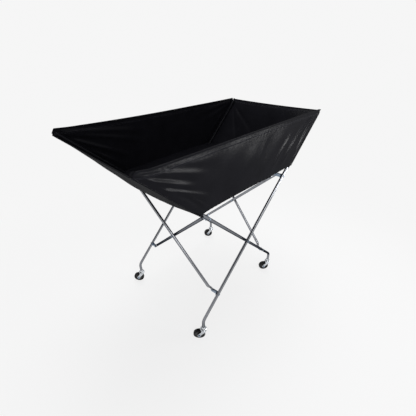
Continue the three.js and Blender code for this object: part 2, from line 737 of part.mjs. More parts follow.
const legs = [
  { name: 'near_outer', side: NEAR, lean: RIGHT, y: outerLegY },
  { name: 'near_inner', side: NEAR, lean: LEFT, y: innerLegY },
  { name: 'far_outer', side: FAR, lean: RIGHT, y: outerLegY },
  { name: 'far_inner', side: FAR, lean: LEFT, y: innerLegY },
];

function addCaster({ name, side, lean, y }) {
  const caster = new THREE.Group();
  caster.position.set(footX(lean), side * y, 0);
  caster.rotation.z = CASTER_TRAIL_TURN;
  addPiece(caster, `${name}_caster_mount`, casterMountGeometry(), chrome);
  addPiece(caster, `${name}_caster_fork`, forkGeometry(), chrome);
  addPiece(caster, `${name}_caster_wheel`, wheelGeometry(), blackRubber);
  addPiece(caster, `${name}_caster_axle`, axleGeometry(), zinc);
  cart.add(caster);
}

function addLeg({ name, side, lean, y }) {
  const leg = new THREE.Group();
  leg.position.set(0, side * y, pinHeight);
  addPiece(leg, `${name}_leg`, legGeometry(lean), chrome);
  addPiece(leg, `${name}_leg_cap`, capGeometry(lean), blackPlastic);
  addPiece(leg, `${name}_sleeve`, sleeveGeometry(lean), blackCloth);
  cart.add(leg);
}

// level is lower or upper; the strut that ends at a hub follows from the hub's end and side
function addBracket({ name, side, lean, y }, level) {
  const end = level === 'upper' ? lean : -lean;
  const rising = level === 'lower' ? side : -side;
  const frame = strutFrame(end, rising);
  const bracket = new THREE.Group();
  bracket.position.copy(frame[level]);
  addPiece(bracket, `${name}_${level}_bracket`, bracketGeometry(frame, side, y), zinc);
  addPiece(bracket, `${name}_${level}_pin`, bracketPinGeometry(frame), zinc);
  cart.add(bracket);
}

function addStruts(end, name) {
  [NEAR, FAR].forEach((rising) => {
    const frame = strutFrame(end, rising);
    const carriesBolt = rising === NEAR;
    const strut = new THREE.Group();
    strutMatrix(frame).decompose(strut.position, strut.quaternion, strut.scale);
    const place = carriesBolt ? 'outer' : 'inner';
    const play = carriesBolt ? 0 : STRUT_BOLT_PLAY;
    addPiece(strut, `${name}_${place}_strut`, strutGeometry(frame, play), chrome);
    if (carriesBolt) addPiece(strut, `${name}_strut_bolt`, strutBoltGeometry(frame, -end), zinc);
    cart.add(strut);
  });
}

function addLegBolt(side, name) {
  const bolt = new THREE.Group();
  bolt.position.set(0, side * outerLegY, pinHeight);
  addPiece(bolt, `${name}_leg_bolt`, legBoltGeometry(side), zinc);
  cart.add(bolt);
}

legs.forEach((leg) => {
  addLeg(leg);
  addCaster(leg);
  addBracket(leg, 'lower');
  addBracket(leg, 'upper');
});
addLegBolt(NEAR, 'near');
addLegBolt(FAR, 'far');
addStruts(LEFT, 'left');
addStruts(RIGHT, 'right');
addPiece(cart, 'basket_near_panel', longPanel(NEAR), blackCloth);
addPiece(cart, 'basket_far_panel', longPanel(FAR), blackCloth);
addPiece(cart, 'basket_left_panel', endPanel(LEFT), blackCloth);
addPiece(cart, 'basket_right_panel', endPanel(RIGHT), blackCloth);
addPiece(cart, 'basket_floor', basketFloor(), blackCloth);

// The origin is the middle of the footprint on the floor
const bounds = new THREE.Box3().setFromObject(cart, true);
cart.position.set(-(bounds.min.x + bounds.max.x) / 2, -(bounds.min.y + bounds.max.y) / 2, 0);

export default cart;
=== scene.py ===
"""A folding ball cart: chromed crossed legs and struts, swivel casters and a wide basket of coated nylon.

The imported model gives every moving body. This script lays smooth metal over its faceted tubes, brackets
and casters, sews the basket from its panels, and sets the light and the camera. Lengths are in metres.
"""

import logging
import math
from dataclasses import dataclass, field
from enum import Enum

import bpy
import numpy as np
from mathutils import Matrix, Vector


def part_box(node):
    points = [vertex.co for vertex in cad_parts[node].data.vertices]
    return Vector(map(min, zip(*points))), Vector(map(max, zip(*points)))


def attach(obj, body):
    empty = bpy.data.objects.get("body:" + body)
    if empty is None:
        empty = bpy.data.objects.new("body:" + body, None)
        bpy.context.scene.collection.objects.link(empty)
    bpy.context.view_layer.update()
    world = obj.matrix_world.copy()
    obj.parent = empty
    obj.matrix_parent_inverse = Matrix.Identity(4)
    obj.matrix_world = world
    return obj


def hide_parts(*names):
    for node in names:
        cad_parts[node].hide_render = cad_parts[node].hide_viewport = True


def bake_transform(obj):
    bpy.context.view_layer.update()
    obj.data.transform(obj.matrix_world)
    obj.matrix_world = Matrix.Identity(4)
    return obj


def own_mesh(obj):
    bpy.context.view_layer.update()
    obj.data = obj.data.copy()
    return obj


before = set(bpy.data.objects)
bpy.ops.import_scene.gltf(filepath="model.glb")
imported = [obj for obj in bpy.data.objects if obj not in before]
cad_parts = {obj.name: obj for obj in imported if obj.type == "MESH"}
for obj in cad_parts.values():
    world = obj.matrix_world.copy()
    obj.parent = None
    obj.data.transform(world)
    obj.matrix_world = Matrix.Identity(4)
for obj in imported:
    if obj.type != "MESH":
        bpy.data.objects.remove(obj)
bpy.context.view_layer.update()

logging.basicConfig(level=logging.INFO, format="%(message)s")
LOG = logging.getLogger("ball_cart")

MM = 0.001
CLEARANCE = 0.3 * MM  # between rigid pieces that sit together
NOISE_SPAN = (0.3, 0.7)  # the values between which nearly all of a noise pattern lies
X_AXIS, Y_AXIS, Z_AXIS = np.eye(3)
Array = np.ndarray
Socket = bpy.types.NodeSocket


# Small helpers


def linear_rgb(code: str) -> tuple[float, float, float, float]:
    """Turns an sRGB hex colour into linear light.

    Args:
        code: The colour as "#RRGGBB".

    Returns:
        Red, green, blue and an alpha of 1.
    """
    shares = [int(code[i : i + 2], 16) / 255 for i in (1, 3, 5)]
    red, green, blue = (c / 12.92 if c <= 0.04045 else ((c + 0.055) / 1.055) ** 2.4 for c in shares)
    return red, green, blue, 1.0


def pattern_scale(millimetres: float) -> float:
    """Returns the texture scale at which one feature is this many millimetres, on coordinates in metres."""
    return 1.0 / (millimetres * MM)


def mix(low: Array | float, high: Array | float, share: Array | float) -> Array | float:
    """Returns the value at a share of the way from low to high."""
    return low + (high - low) * share


def smooth(share: Array) -> Array:
    """Returns 3t^2 - 2t^3 of a share clipped to 0 and 1, which starts and ends level."""
    t = np.clip(share, 0.0, 1.0)
    return t * t * (3.0 - 2.0 * t)


def arch(share: Array) -> Array:
    """Returns 1 - (2t - 1)^2: 0 at both ends and 1 in the middle."""
    return 1.0 - (2.0 * share - 1.0) ** 2


def wave(turns: Array) -> Array:
    """Returns sin(2 pi t), one wave for each whole turn."""
    return np.sin(2 * np.pi * turns)


def unit(vector: Array) -> Array:
    """Returns the vector, or each row of an array of vectors, at length 1."""
    vector = np.asarray(vector, float)
    return vector / np.maximum(np.linalg.norm(vector, axis=-1, keepdims=True), 1e-12)


@dataclass
class Surface:
    """A mesh as plain arrays.

    Attributes:
        points: One row of three coordinates for each vertex.
        quads: Four vertex numbers a row.
        triangles: Three vertex numbers a row.
        cloth: Place on the flat cloth for each vertex, in metres, or None.
        edge: Distance from the sewn edge for each vertex, in metres, or None.
    """

    points: Array
    quads: Array = field(default_factory=lambda: np.zeros((0, 4), int))
    triangles: Array = field(default_factory=lambda: np.zeros((0, 3), int))
    cloth: Array | None = None
    edge: Array | None = None

    def volume(self) -> float:
        """Works out the signed volume, the sum of a.(b x c) / 6 over the faces split into triangles.

        Returns:
            The volume, which is negative where the faces point inwards.
        """
        q, t = self.quads, self.triangles
        faces = np.concatenate([q[:, [0, 1, 2]], q[:, [0, 2, 3]], t])
        a, b, c = (self.points[faces[:, i]] for i in range(3))
        return float((a * np.cross(b, c)).sum() / 6)

    def facing_out(self) -> "Surface":
        """Turns the faces of a closed surface outwards.

        Returns:
            The same surface.
        """
        if self.volume() < 0:
            self.quads = self.quads[:, ::-1]
            self.triangles = self.triangles[:, ::-1]
        return self

    def placed(self, origin: Array, x: Array, y: Array, z: Array) -> "Surface":
        """Returns the surface in a turned frame, each point being origin + px.x + py.y + pz.z.

        Args:
            origin: Where the frame's zero lies.
            x: Direction of the frame's first axis.
            y: Direction of its second axis.
            z: Direction of its third axis.

        Returns:
            The placed surface, facing out. Rigid pieces carry no cloth, so none is passed on.
        """
        points = self.points @ np.array([x, y, z], float) + np.asarray(origin, float)
        return Surface(points, self.quads, self.triangles).facing_out()


def joined(surfaces: list[Surface]) -> Surface:
    """Puts several closed surfaces into one mesh, each still closed in itself.

    Args:
        surfaces: The surfaces, none of them cloth.

    Returns:
        The one mesh.
    """
    starts = np.cumsum([0] + [len(s.points) for s in surfaces[:-1]])
    return Surface(np.concatenate([s.points for s in surfaces]),
                   np.concatenate([s.quads + n for s, n in zip(surfaces, starts)]),
                   np.concatenate([s.triangles + n for s, n in zip(surfaces, starts)]))


def grid_quads(rows: int, columns: int, wrap: bool) -> Array:
    """Numbers the quads of a grid of points.

    Args:
        rows: Rows of points.
        columns: Points in a row.
        wrap: Whether the last column joins the first.

    Returns:
        Four point numbers for each quad.
    """
    i = np.arange(rows - 1)[:, None]
    j = np.arange(columns if wrap else columns - 1)[None, :]
    k = (j + 1) % columns
    corners = [i * columns + j, (i + 1) * columns + j, (i + 1) * columns + k, i * columns + k]
    return np.stack([np.broadcast_to(c, (rows - 1, j.shape[1])).ravel() for c in corners], axis=1)


def closed_rings(rings: Array) -> Surface:
    """Joins rings of points into one closed skin; a fan to each end ring's middle closes it.

    Args:
        rings: Points as (rings, points a ring, 3).

    Returns:
        The closed surface, facing out.
    """
    count, around = rings.shape[:2]
    points = np.concatenate([rings.reshape(-1, 3), rings[[0, -1]].mean(axis=1)])
    j = np.arange(around)
    k = (j + 1) % around
    last = (count - 1) * around
    first_fan = np.stack([np.full(around, count * around), j, k], axis=1)
    last_fan = np.stack([np.full(around, count * around + 1), last + k, last + j], axis=1)
    skin = Surface(points, grid_quads(count, around, True), np.concatenate([first_fan, last_fan]))
    return skin.facing_out()


def angles(count: int) -> Array:
    """Returns angles evenly round a circle, from 0."""
    return 2 * np.pi * np.arange(count) / count


def revolved(line: Array, sides: int) -> Array:
    """Returns the rings of a line of radius and height: (r cos a, r sin a, h)."""
    r, h, a = line[:, 0, None], line[:, 1, None], angles(sides)
    return np.stack([r * np.cos(a), r * np.sin(a), np.broadcast_to(h, (len(line), sides))], axis=-1)


def turned(profile: list[tuple[float, float]], sides: int, fillet: float = 0.0) -> Surface:
    """Turns a profile about +Z.

    Args:
        profile: Radius and height from one end to the other, off the axis.
        sides: Points round each ring.
        fillet: Radius that rounds every corner of the profile.

    Returns:
        The closed surface.
    """
    line = np.array(profile, float)
    return closed_rings(revolved(rounded(line, fillet) if fillet else line, sides))


def disc(radius: float, low: float, high: float, sides: int, fillet: float = 0.0) -> Surface:
    """Turns a plain shank, washer or spacer between two heights."""
    return turned([(0.0, low), (radius, low), (radius, high), (0.0, high)], sides, fillet)


def dome(radius: float, foot: float, top: float, steps: int) -> list[tuple[float, float]]:
    """Returns a dome's profile from its foot to its tip: (R cos a, foot + (top - foot) sin a)."""
    angle = np.linspace(0, np.pi / 2, steps)[:-1]
    return [*zip(radius * np.cos(angle), foot + (top - foot) * np.sin(angle)), (0.0, top)]


def rounded(points: Array, radius: float, steps: int = 4) -> Array:
    """Rounds each inner corner of a line of points with a curve that touches both its sides.

    A corner P becomes (1-t)^2 A + 2t(1-t) P + t^2 B, with A and B on its two sides.

    Args:
        points: The line's corners, two or three coordinates each.
        radius: How far from a corner its curve starts, at most 45% of a side.
        steps: Pieces in each curve.

    Returns:
        The rounded line's points.
    """
    t = np.linspace(0, 1, steps + 1)[:, None]
    parts = [points[:1]]
    for before, corner, after in zip(points[:-2], points[1:-1], points[2:]):
        back, ahead = before - corner, after - corner
        a = corner + unit(back) * min(radius, 0.45 * np.linalg.norm(back))
        b = corner + unit(ahead) * min(radius, 0.45 * np.linalg.norm(ahead))
        parts.append((1 - t) ** 2 * a + 2 * t * (1 - t) * corner + t**2 * b)
    parts.append(points[-1:])
    return np.concatenate(parts)


def thick_sheet(middle: Array, thickness: Array | float, cloth: Array | None = None,
                edge: Array | None = None) -> Surface:
    """Gives a sheet its thickness: middle + n t/2 on one face and middle - n t/2 on the other.

    Args:
        middle: The middle surface's points as (rows, columns, 3).
        thickness: The thickness t at each point, or one for all.
        cloth: Place of each point on the flat cloth, as (rows, columns, 2).
        edge: Distance of each point from the sewn edge, as (rows, columns).

    Returns:
        The closed shell, facing out.
    """
    rows, columns = middle.shape[:2]
    normal = unit(np.cross(np.gradient(middle, axis=0), np.gradient(middle, axis=1)))
    half = np.broadcast_to(np.asarray(thickness, float), (rows, columns))[..., None] / 2
    points = np.concatenate([(middle + normal * half).reshape(-1, 3),
                             (middle - normal * half).reshape(-1, 3)])
    one_side = grid_quads(rows, columns, False)
    number = np.arange(rows * columns).reshape(rows, columns)
    loop = np.concatenate([number[0, :-1], number[:-1, -1], number[-1, :0:-1], number[:0:-1, 0]])
    ahead = np.roll(loop, -1)
    other = rows * columns
    rim = np.stack([loop, ahead, ahead + other, loop + other], axis=1)
    quads = np.concatenate([one_side, one_side[:, ::-1] + other, rim])
    doubled_cloth = None if cloth is None else np.concatenate([cloth.reshape(-1, 2)] * 2)
    doubled_edge = None if edge is None else np.concatenate([edge.ravel()] * 2)
    return Surface(points, quads, cloth=doubled_cloth, edge=doubled_edge).facing_out()


def swept(path: Array, radius: Array, side: Array, around: int) -> Surface:
    """Carries a circle along a path: path + r (cos a . side + sin a . (tangent x side)).

    Args:
        path: The path's points.
        radius: The circle's radius at each point.
        side: A direction that is never along the path.
        around: Points round the circle.

    Returns:
        The closed tube.
    """
    tangent = unit(np.gradient(path, axis=0))
    one = unit(np.asarray(side, float) - tangent * (tangent @ np.asarray(side, float))[:, None])
    two = np.cross(tangent, one)
    angle = angles(around)[None, :, None]
    ring = np.cos(angle) * one[:, None] + np.sin(angle) * two[:, None]
    return closed_rings(path[:, None] + np.asarray(radius, float)[:, None, None] * ring)


def hexagon_head(across_corners: float, height: float, sides: int = 72) -> Surface:
    """Makes a bolt head or nut on the plane z = 0, with the turned chamfer of a real one.

    A ring's radius is the smaller of the hexagon, a / cos(angle from the middle of a flat), and the chamfer.

    Args:
        across_corners: Radius to a corner.
        height: Height of the head.
        sides: Points round it.

    Returns:
        The closed head.
    """
    angle = angles(sides)
    flat = across_corners * math.cos(math.pi / 6)
    hexagon = flat / np.cos((angle + np.pi / 6) % (np.pi / 3) - np.pi / 6)
    chamfer = 0.16 * height
    levels = [(0.0, 0.97 * flat), (chamfer * 0.6, across_corners), (height - chamfer, across_corners),
              (height - 0.3 * chamfer, 1.03 * flat), (height, 0.93 * flat)]
    ring = np.stack([np.cos(angle), np.sin(angle)], axis=-1)
    rings = [np.concatenate([np.minimum(hexagon, limit)[:, None] * ring, np.full((sides, 1), z)], axis=1)
             for z, limit in levels]
    return closed_rings(np.array(rings))


def axes_along(direction: Array) -> tuple[Array, Array, Array]:
    """Works out three square axes.

    Args:
        direction: Where the third axis runs.

    Returns:
        The three unit vectors.
    """
    z = unit(direction)
    x = unit(np.cross(Z_AXIS if abs(z[2]) < 0.9 else X_AXIS, z))
    return x, np.cross(z, x), z


# Finishes


def add_node(tree: bpy.types.NodeTree, kind: str, settings: dict | None = None,
             inputs: dict | None = None, links: dict | None = None) -> bpy.types.Node:
    """Adds one node with its settings, its fixed inputs and its links.

    Args:
        tree: The material's node tree.
        kind: The node's Blender type.
        settings: Properties of the node.
        inputs: Values by socket name or number.
        links: Output sockets of other nodes by this node's socket name or number.

    Returns:
        The new node.
    """
    node = tree.nodes.new(kind)
    for key, value in (settings or {}).items():
        setattr(node, key, value)
    for key, value in (inputs or {}).items():
        node.inputs[key].default_value = value
    for key, output in (links or {}).items():
        tree.links.new(output, node.inputs[key])
    return node


def new_material(name: str) -> tuple[bpy.types.Material, bpy.types.NodeTree]:
    """Makes a node material with nothing in it.

    Args:
        name: The material's name.

    Returns:
        The material and its tree.
    """
    material = bpy.data.materials.new(name)
    material.use_nodes = True
    material.node_tree.nodes.clear()
    return material, material.node_tree


def start_finish(name: str, *clouds: tuple[float, float]) -> tuple[
        bpy.types.Material, bpy.types.NodeTree, list[Socket]]:
    """Starts a finish: a material with its cloudy patterns, on Object coordinates.

    Args:
        name: The material's name.
        *clouds: Each pattern's size in millimetres and its detail.

    Returns:
        The material, its tree and a socket for each pattern.
    """
    material, tree = new_material(name)
    place = add_node(tree, "ShaderNodeTexCoord").outputs["Object"]
    return material, tree, [
        add_node(tree, "ShaderNodeTexNoise", inputs={"Scale": pattern_scale(size), "Detail": detail},
                 links={"Vector": place}).outputs["Fac"] for size, detail in clouds]


def end_finish(tree: bpy.types.NodeTree, colour: Socket, rough: tuple[Socket, float, float, float, float],
               relief: tuple[Socket, float, float], inputs: dict, coated: bool = False) -> None:
    """Ends a finish: its colour, a roughness that follows a pattern, its relief and its fixed values.

    Args:
        tree: The material's node tree.
        colour: The socket of its colour.
        rough: A pattern, the two of its values between which the roughness runs, and the two roughnesses.
        relief: The pattern that stands up, its strength and its height in millimetres.
        inputs: Fixed values of the shader.
        coated: Whether a coat follows the relief too.
    """
    pattern, low, high, least, most = rough
    roughness = add_node(tree, "ShaderNodeMapRange", inputs={1: low, 2: high, 3: least, 4: most},
                         links={0: pattern}).outputs[0]
    raised, strength, height = relief
    normal = add_node(tree, "ShaderNodeBump", inputs={"Strength": strength, "Distance": height * MM},
                      links={"Height": raised}).outputs[0]
    links = {"Base Color": colour, "Roughness": roughness, "Normal": normal}
    if coated:
        links["Coat Normal"] = normal
    shader = add_node(tree, "ShaderNodeBsdfPrincipled", inputs=inputs, links=links)
    add_node(tree, "ShaderNodeOutputMaterial", links={"Surface": shader.outputs[0]})


@dataclass(frozen=True)
class ChromePlate:
    """Chrome over nickel on drawn steel tube, buffed: a near mirror with a faint long waviness.

    The plate copies the tube's drawing marks only as a slow ripple, so edges of reflections waver a little.
    """

    name: str = "chrome_plated_steel"
    # Colours darker than real chrome: painted shade, standing in for the dark surroundings that the tubes
    # reflect
    colour: str = "#94969B"
    duller: str = "#7E8085"
    # Near-black edge tint: painted shade that darkens the tubes along their rims
    edge: str = "#101012"
    smoothest: float = 0.06
    roughest: float = 0.13
    ripple_mm: float = 30.0
    cloud_mm: float = 45.0
    ripple: float = 0.01
    ripple_height_mm: float = 0.1
    cloud_span: tuple[float, float] = (0.35, 0.7)

    def build(self) -> bpy.types.Material:
        """Builds the finish.

        Returns:
            The material.
        """
        material, tree, (clouds, ripples) = start_finish(
            self.name, (self.cloud_mm, 3.0), (self.ripple_mm, 1.0))
        colour = add_node(tree, "ShaderNodeMix", {"data_type": "RGBA"},
                          {6: linear_rgb(self.colour), 7: linear_rgb(self.duller)}, {0: clouds})
        end_finish(tree, colour.outputs[2], (clouds, *self.cloud_span, self.smoothest, self.roughest),
                   (ripples, self.ripple, self.ripple_height_mm),
                   {"Metallic": 1.0, "Specular Tint": linear_rgb(self.edge)})
        return material


@dataclass(frozen=True)
class ZincPlate:
    """Bright zinc with a blue passivation on pressed or headed steel: a soft, bluish, cloudy metal."""

    name: str = "blue_passivated_zinc"
    colour: str = "#929FAF"
    cloud: str = "#76828F"
    smoothest: float = 0.21
    roughest: float = 0.38
    grain_mm: float = 2.5
    cloud_mm: float = 11.0
    grain: float = 0.12
    grain_height_mm: float = 0.05

    def build(self) -> bpy.types.Material:
        """Builds the finish.

        Returns:
            The material.
        """
        material, tree, (clouds, grain) = start_finish(
            self.name, (self.cloud_mm, 4.0), (self.grain_mm, 2.0))
        colour = add_node(tree, "ShaderNodeMix", {"data_type": "RGBA"},
                          {6: linear_rgb(self.colour), 7: linear_rgb(self.cloud)}, {0: clouds})
        end_finish(tree, colour.outputs[2], (grain, *NOISE_SPAN, self.smoothest, self.roughest),
                   (grain, self.grain, self.grain_height_mm), {"Metallic": 1.0})
        return material


@dataclass(frozen=True)
class MouldedBlack:
    """A black moulding, rubber or plastic: dark and even, with a fine dull skin from the mould."""

    name: str = "moulded_black"
    colour: str = "#161617"
    worn: str = "#232324"
    smoothest: float = 0.42
    roughest: float = 0.6
    skin_mm: float = 1.2
    scuff_mm: float = 9.0
    bump: float = 0.2
    skin_height_mm: float = 0.1
    specular: float = 0.5
    worn_from: float = 0.5
    worn_full: float = 0.8

    def build(self) -> bpy.types.Material:
        """Builds the finish.

        Returns:
            The material.
        """
        material, tree, (scuffs, skin) = start_finish(
            self.name, (self.scuff_mm, 5.0), (self.skin_mm, 2.0))
        share = add_node(tree, "ShaderNodeMapRange", inputs={1: self.worn_from, 2: self.worn_full},
                         links={0: scuffs})
        colour = add_node(tree, "ShaderNodeMix", {"data_type": "RGBA"},
                          {6: linear_rgb(self.colour), 7: linear_rgb(self.worn)}, {0: share.outputs[0]})
        end_finish(tree, colour.outputs[2], (scuffs, *NOISE_SPAN, self.smoothest, self.roughest),
                   (skin, self.bump, self.skin_height_mm), {"Specular IOR Level": self.specular})
        return material


@dataclass(frozen=True)
class CoatedNylon:
    """Black oxford nylon under a broken polyurethane film: a near-black weave that only its folds light.

    The yarn itself is dull, and the film mirrors what is round it weakly and softly. The threads are drawn
    0.9 mm apart, about twice the real spacing, so that they still show close up. Two rows of stitches
    follow the hem, 2.6 mm long every 3.6 mm, in thread a little lighter than the cloth.
    """

    name: str = "coated_nylon"
    colour: str = "#0D0D10"
    faded: str = "#151519"
    thread: str = "#2E2E33"
    smoothest: float = 0.65
    roughest: float = 0.78
    film: float = 0.08
    film_roughness: float = 0.26
    thread_mm: float = 0.9
    cloud_mm: float = 70.0
    hem_mm: float = 22.0
    row_gap_mm: float = 5.0
    stitch_mm: float = 3.6
    stitched_share: float = 0.72
    stitch_width_mm: float = 1.0
    stitch_rise: float = 4.0
    weave_strength: float = 0.25
    weave_height_mm: float = 0.06

    def stitches(self, tree: bpy.types.NodeTree, along: Socket) -> Socket:
        """Marks both rows of stitches: dashes along the cloth where the distance from the edge is right.

        Args:
            tree: The material's node tree.
            along: Place along the cloth, in metres.

        Returns:
            A socket that is 1 on a stitch and 0 elsewhere.
        """
        edge = add_node(tree, "ShaderNodeAttribute", {"attribute_name": "edge"}).outputs["Fac"]
        step = add_node(tree, "ShaderNodeMath", {"operation": "MULTIPLY"},
                        {1: pattern_scale(self.stitch_mm)}, {0: along}).outputs[0]
        part = add_node(tree, "ShaderNodeMath", {"operation": "FRACT"}, links={0: step}).outputs[0]
        dash = add_node(tree, "ShaderNodeMath", {"operation": "LESS_THAN"}, {1: self.stitched_share},
                        {0: part}).outputs[0]
        rows = [add_node(tree, "ShaderNodeMath", {"operation": "COMPARE"},
                         {1: distance * MM, 2: self.stitch_width_mm / 2 * MM}, {0: edge}).outputs[0]
                for distance in (self.hem_mm, self.hem_mm - self.row_gap_mm)]
        either = add_node(tree, "ShaderNodeMath", {"operation": "MAXIMUM"}, links={0: rows[0], 1: rows[1]})
        return add_node(tree, "ShaderNodeMath", {"operation": "MULTIPLY"},
                        links={0: either.outputs[0], 1: dash}).outputs[0]

    def build(self) -> bpy.types.Material:
        """Builds the finish.

        Returns:
            The material.
        """
        material, tree, (clouds,) = start_finish(self.name, (self.cloud_mm, 4.0))
        flat = add_node(tree, "ShaderNodeUVMap", {"uv_map": "cloth"}).outputs[0]
        split = add_node(tree, "ShaderNodeSeparateXYZ", links={0: flat})
        threads = []
        for axis in (0, 1):
            turn = add_node(tree, "ShaderNodeMath", {"operation": "MULTIPLY"},
                            {1: 2 * math.pi * pattern_scale(self.thread_mm)}, {0: split.outputs[axis]})
            threads.append(add_node(tree, "ShaderNodeMath", {"operation": "SINE"},
                                    links={0: turn.outputs[0]}).outputs[0])
        weave = add_node(tree, "ShaderNodeMath", {"operation": "MULTIPLY"},
                         links={0: threads[0], 1: threads[1]}).outputs[0]
        stitch = self.stitches(tree, split.outputs[0])
        raised = add_node(tree, "ShaderNodeMath", {"operation": "MULTIPLY_ADD"}, {1: self.stitch_rise},
                          {0: stitch, 2: weave}).outputs[0]
        colour = add_node(tree, "ShaderNodeMix", {"data_type": "RGBA"},
                          {6: linear_rgb(self.colour), 7: linear_rgb(self.faded)}, {0: clouds})
        sewn = add_node(tree, "ShaderNodeMix", {"data_type": "RGBA"}, {7: linear_rgb(self.thread)},
                        {0: stitch, 6: colour.outputs[2]})
        end_finish(tree, sewn.outputs[2], (clouds, *NOISE_SPAN, self.smoothest, self.roughest),
                   (raised, self.weave_strength, self.weave_height_mm),
                   {"Specular IOR Level": 0.0, "Coat Weight": self.film,
                    "Coat Roughness": self.film_roughness}, coated=True)
        return material


class Look(Enum):
    """The finishes of the cart, each with the record's slot that it belongs to."""

    TUBE = "chromed_tube"
    CASTER = "caster_steel"
    ZINC = "zinc_steel"
    TYRE = "wheel_rubber"
    PLASTIC = "cap_plastic"
    CLOTH = "basket_cloth"


FINISHES = {
    Look.TUBE: ChromePlate(),
    # Bright plate on pressed steel: paler than the tubes, with blurred and quickly changing reflections
    Look.CASTER: ChromePlate(name="bright_caster_plate", colour="#DADDE0", duller="#C2C6CB",
                             edge="#808488", smoothest=0.12, roughest=0.24, ripple_mm=4.0, cloud_mm=15.0),
    Look.ZINC: ZincPlate(),
    # Moulded rubber: the deepest black, with hardly any shine
    Look.TYRE: MouldedBlack(name="moulded_rubber", colour="#0A0A0B", worn="#151516", specular=0.2),
    # Moulded ABS: black with a fine skin, and a soft highlight that is clearer than on the rubber
    Look.PLASTIC: MouldedBlack(name="moulded_abs", colour="#0E0E0F", worn="#19191A", smoothest=0.32,
                               roughest=0.5, skin_mm=0.6, bump=0.12, specular=0.3),
    Look.CLOTH: CoatedNylon(),
}


class Workshop:
    """Builds materials once, turns surfaces into objects and reports each piece."""

    def __init__(self) -> None:
        """Builds every finish."""
        self.materials = {look: finish.build() for look, finish in FINISHES.items()}

    def piece(self, name: str, surface: Surface, look: Look, sharp_degrees: float = 40.0) -> bpy.types.Object:
        """Makes one named object from a surface, smooth but for edges sharper than an angle.

        Args:
            name: The piece's name.
            surface: Its mesh as arrays.
            look: Its finish.
            sharp_degrees: Edges that turn by more than this stay sharp.

        Returns:
            The new object, at the origin.
        """
        mesh = bpy.data.meshes.new(name)
        faces = surface.quads.tolist() + surface.triangles.tolist()
        mesh.from_pydata(surface.points.tolist(), [], faces)
        mesh.shade_smooth()
        mesh.set_sharp_from_angle(angle=math.radians(sharp_degrees))
        if surface.cloth is not None:
            corner = np.zeros(len(mesh.loops), np.int32)
            mesh.loops.foreach_get("vertex_index", corner)
            layer = mesh.uv_layers.new(name="cloth")
            layer.data.foreach_set("uv", surface.cloth[corner].astype(np.float32).ravel())
        if surface.edge is not None:
            distance = mesh.attributes.new("edge", "FLOAT", "POINT")
            distance.data.foreach_set("value", surface.edge.astype(np.float32))
        mesh.materials.append(self.materials[look])
        obj = bpy.data.objects.new(name, mesh)
        bpy.context.scene.collection.objects.link(obj)
        LOG.info("%s: %d faces", name, len(faces))
        return obj

    def rigid(self, name: str, surface: Surface, look: Look, body: str, *nodes: str,
              sharp_degrees: float = 40.0) -> bpy.types.Object:
        """Makes a piece that rides on a body and stands for CAD nodes.

        Args:
            name: The piece's name.
            surface: Its mesh as arrays.
            look: Its finish.
            body: The body that it moves with.
            *nodes: The CAD nodes that it replaces.
            sharp_degrees: Edges that turn by more than this stay sharp.

        Returns:
            The new object.
        """
        obj = self.piece(name, surface, look, sharp_degrees)
        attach(obj, body)
        if nodes:
            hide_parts(*nodes)
        return obj

    def dress_node(self, node: str, look: Look) -> None:
        """Gives a CAD node that stays in view its finish.

        Args:
            node: The node's name.
            look: The finish.
        """
        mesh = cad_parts[node].data
        for i in range(max(1, len(mesh.materials))):
            if i < len(mesh.materials):
                mesh.materials[i] = self.materials[look]
            else:
                mesh.materials.append(self.materials[look])


# The linkage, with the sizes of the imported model


@dataclass(frozen=True)
class Linkage:
    """Where the legs and struts lie when the cart is open.

    A point of a leg is t (lean sin A, cos A) from its crossing bolt, with A the lean from upright.
    """

    lean: float = math.radians(45.3)
    pin_height: float = 464 * MM
    to_top: float = 780 * MM
    to_upper_hub: float = 386 * MM
    to_lower_hub: float = 307 * MM
    to_bend: float = 459 * MM
    fold: float = math.radians(28)
    tube_radius: float = 7.5 * MM
    foot_height: float = 92 * MM
    strut_offset: float = 8 * MM
    pin_gap: float = 2.8 * MM

    @property
    def sine(self) -> float:
        """Sine of the lean."""
        return math.sin(self.lean)

    @property
    def cosine(self) -> float:
        """Cosine of the lean."""
        return math.cos(self.lean)

    @property
    def half_width(self) -> float:
        """Distance from the middle plane to the strut pins."""
        return math.sqrt(self.to_lower_hub * self.to_upper_hub) * self.sine

    def reach(self, height: Array | float) -> Array | float:
        """Returns how far from the middle a leg's axis lies at a height."""
        return (height - self.pin_height) * self.sine / self.cosine

    def distance(self, height: float) -> float:
        """Returns the distance up a leg from its crossing bolt to a height."""
        return (height - self.pin_height) / self.cosine

    def hub(self, end: int, level: str) -> tuple[float, float]:
        """Works out where a hub lies.

        Args:
            end: The cart's left (-1) or right (1) end.
            level: "lower" or "upper".

        Returns:
            Its x and z.
        """
        if level == "upper":
            return end * self.to_upper_hub * self.sine, self.pin_height + self.to_upper_hub * self.cosine
        return end * self.to_lower_hub * self.sine, self.pin_height - self.to_lower_hub * self.cosine


LINKAGE = Linkage()
SIDE = {-1: "near", 1: "far"}  # by the sign of y
END = {-1: "left", 1: "right"}  # by the sign of x


@dataclass(frozen=True)
class BoltSizes:
    """Sizes of the bolts at both kinds of crossing."""

    shank: float = 3 * MM
    head_radius: float = 5.6 * MM
    head_height: float = 4 * MM
    washer_radius: float = 7 * MM
    washer_height: float = 0.9 * MM


BOLT = BoltSizes()


def middle_of(node: str) -> Array:
    """Returns the middle of a CAD node's box."""
    low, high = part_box(node)
    return (np.array(low) + np.array(high)) / 2


ROW_SHIFT = (middle_of("near_outer_leg")[1] + middle_of("far_outer_leg")[1]) / 2


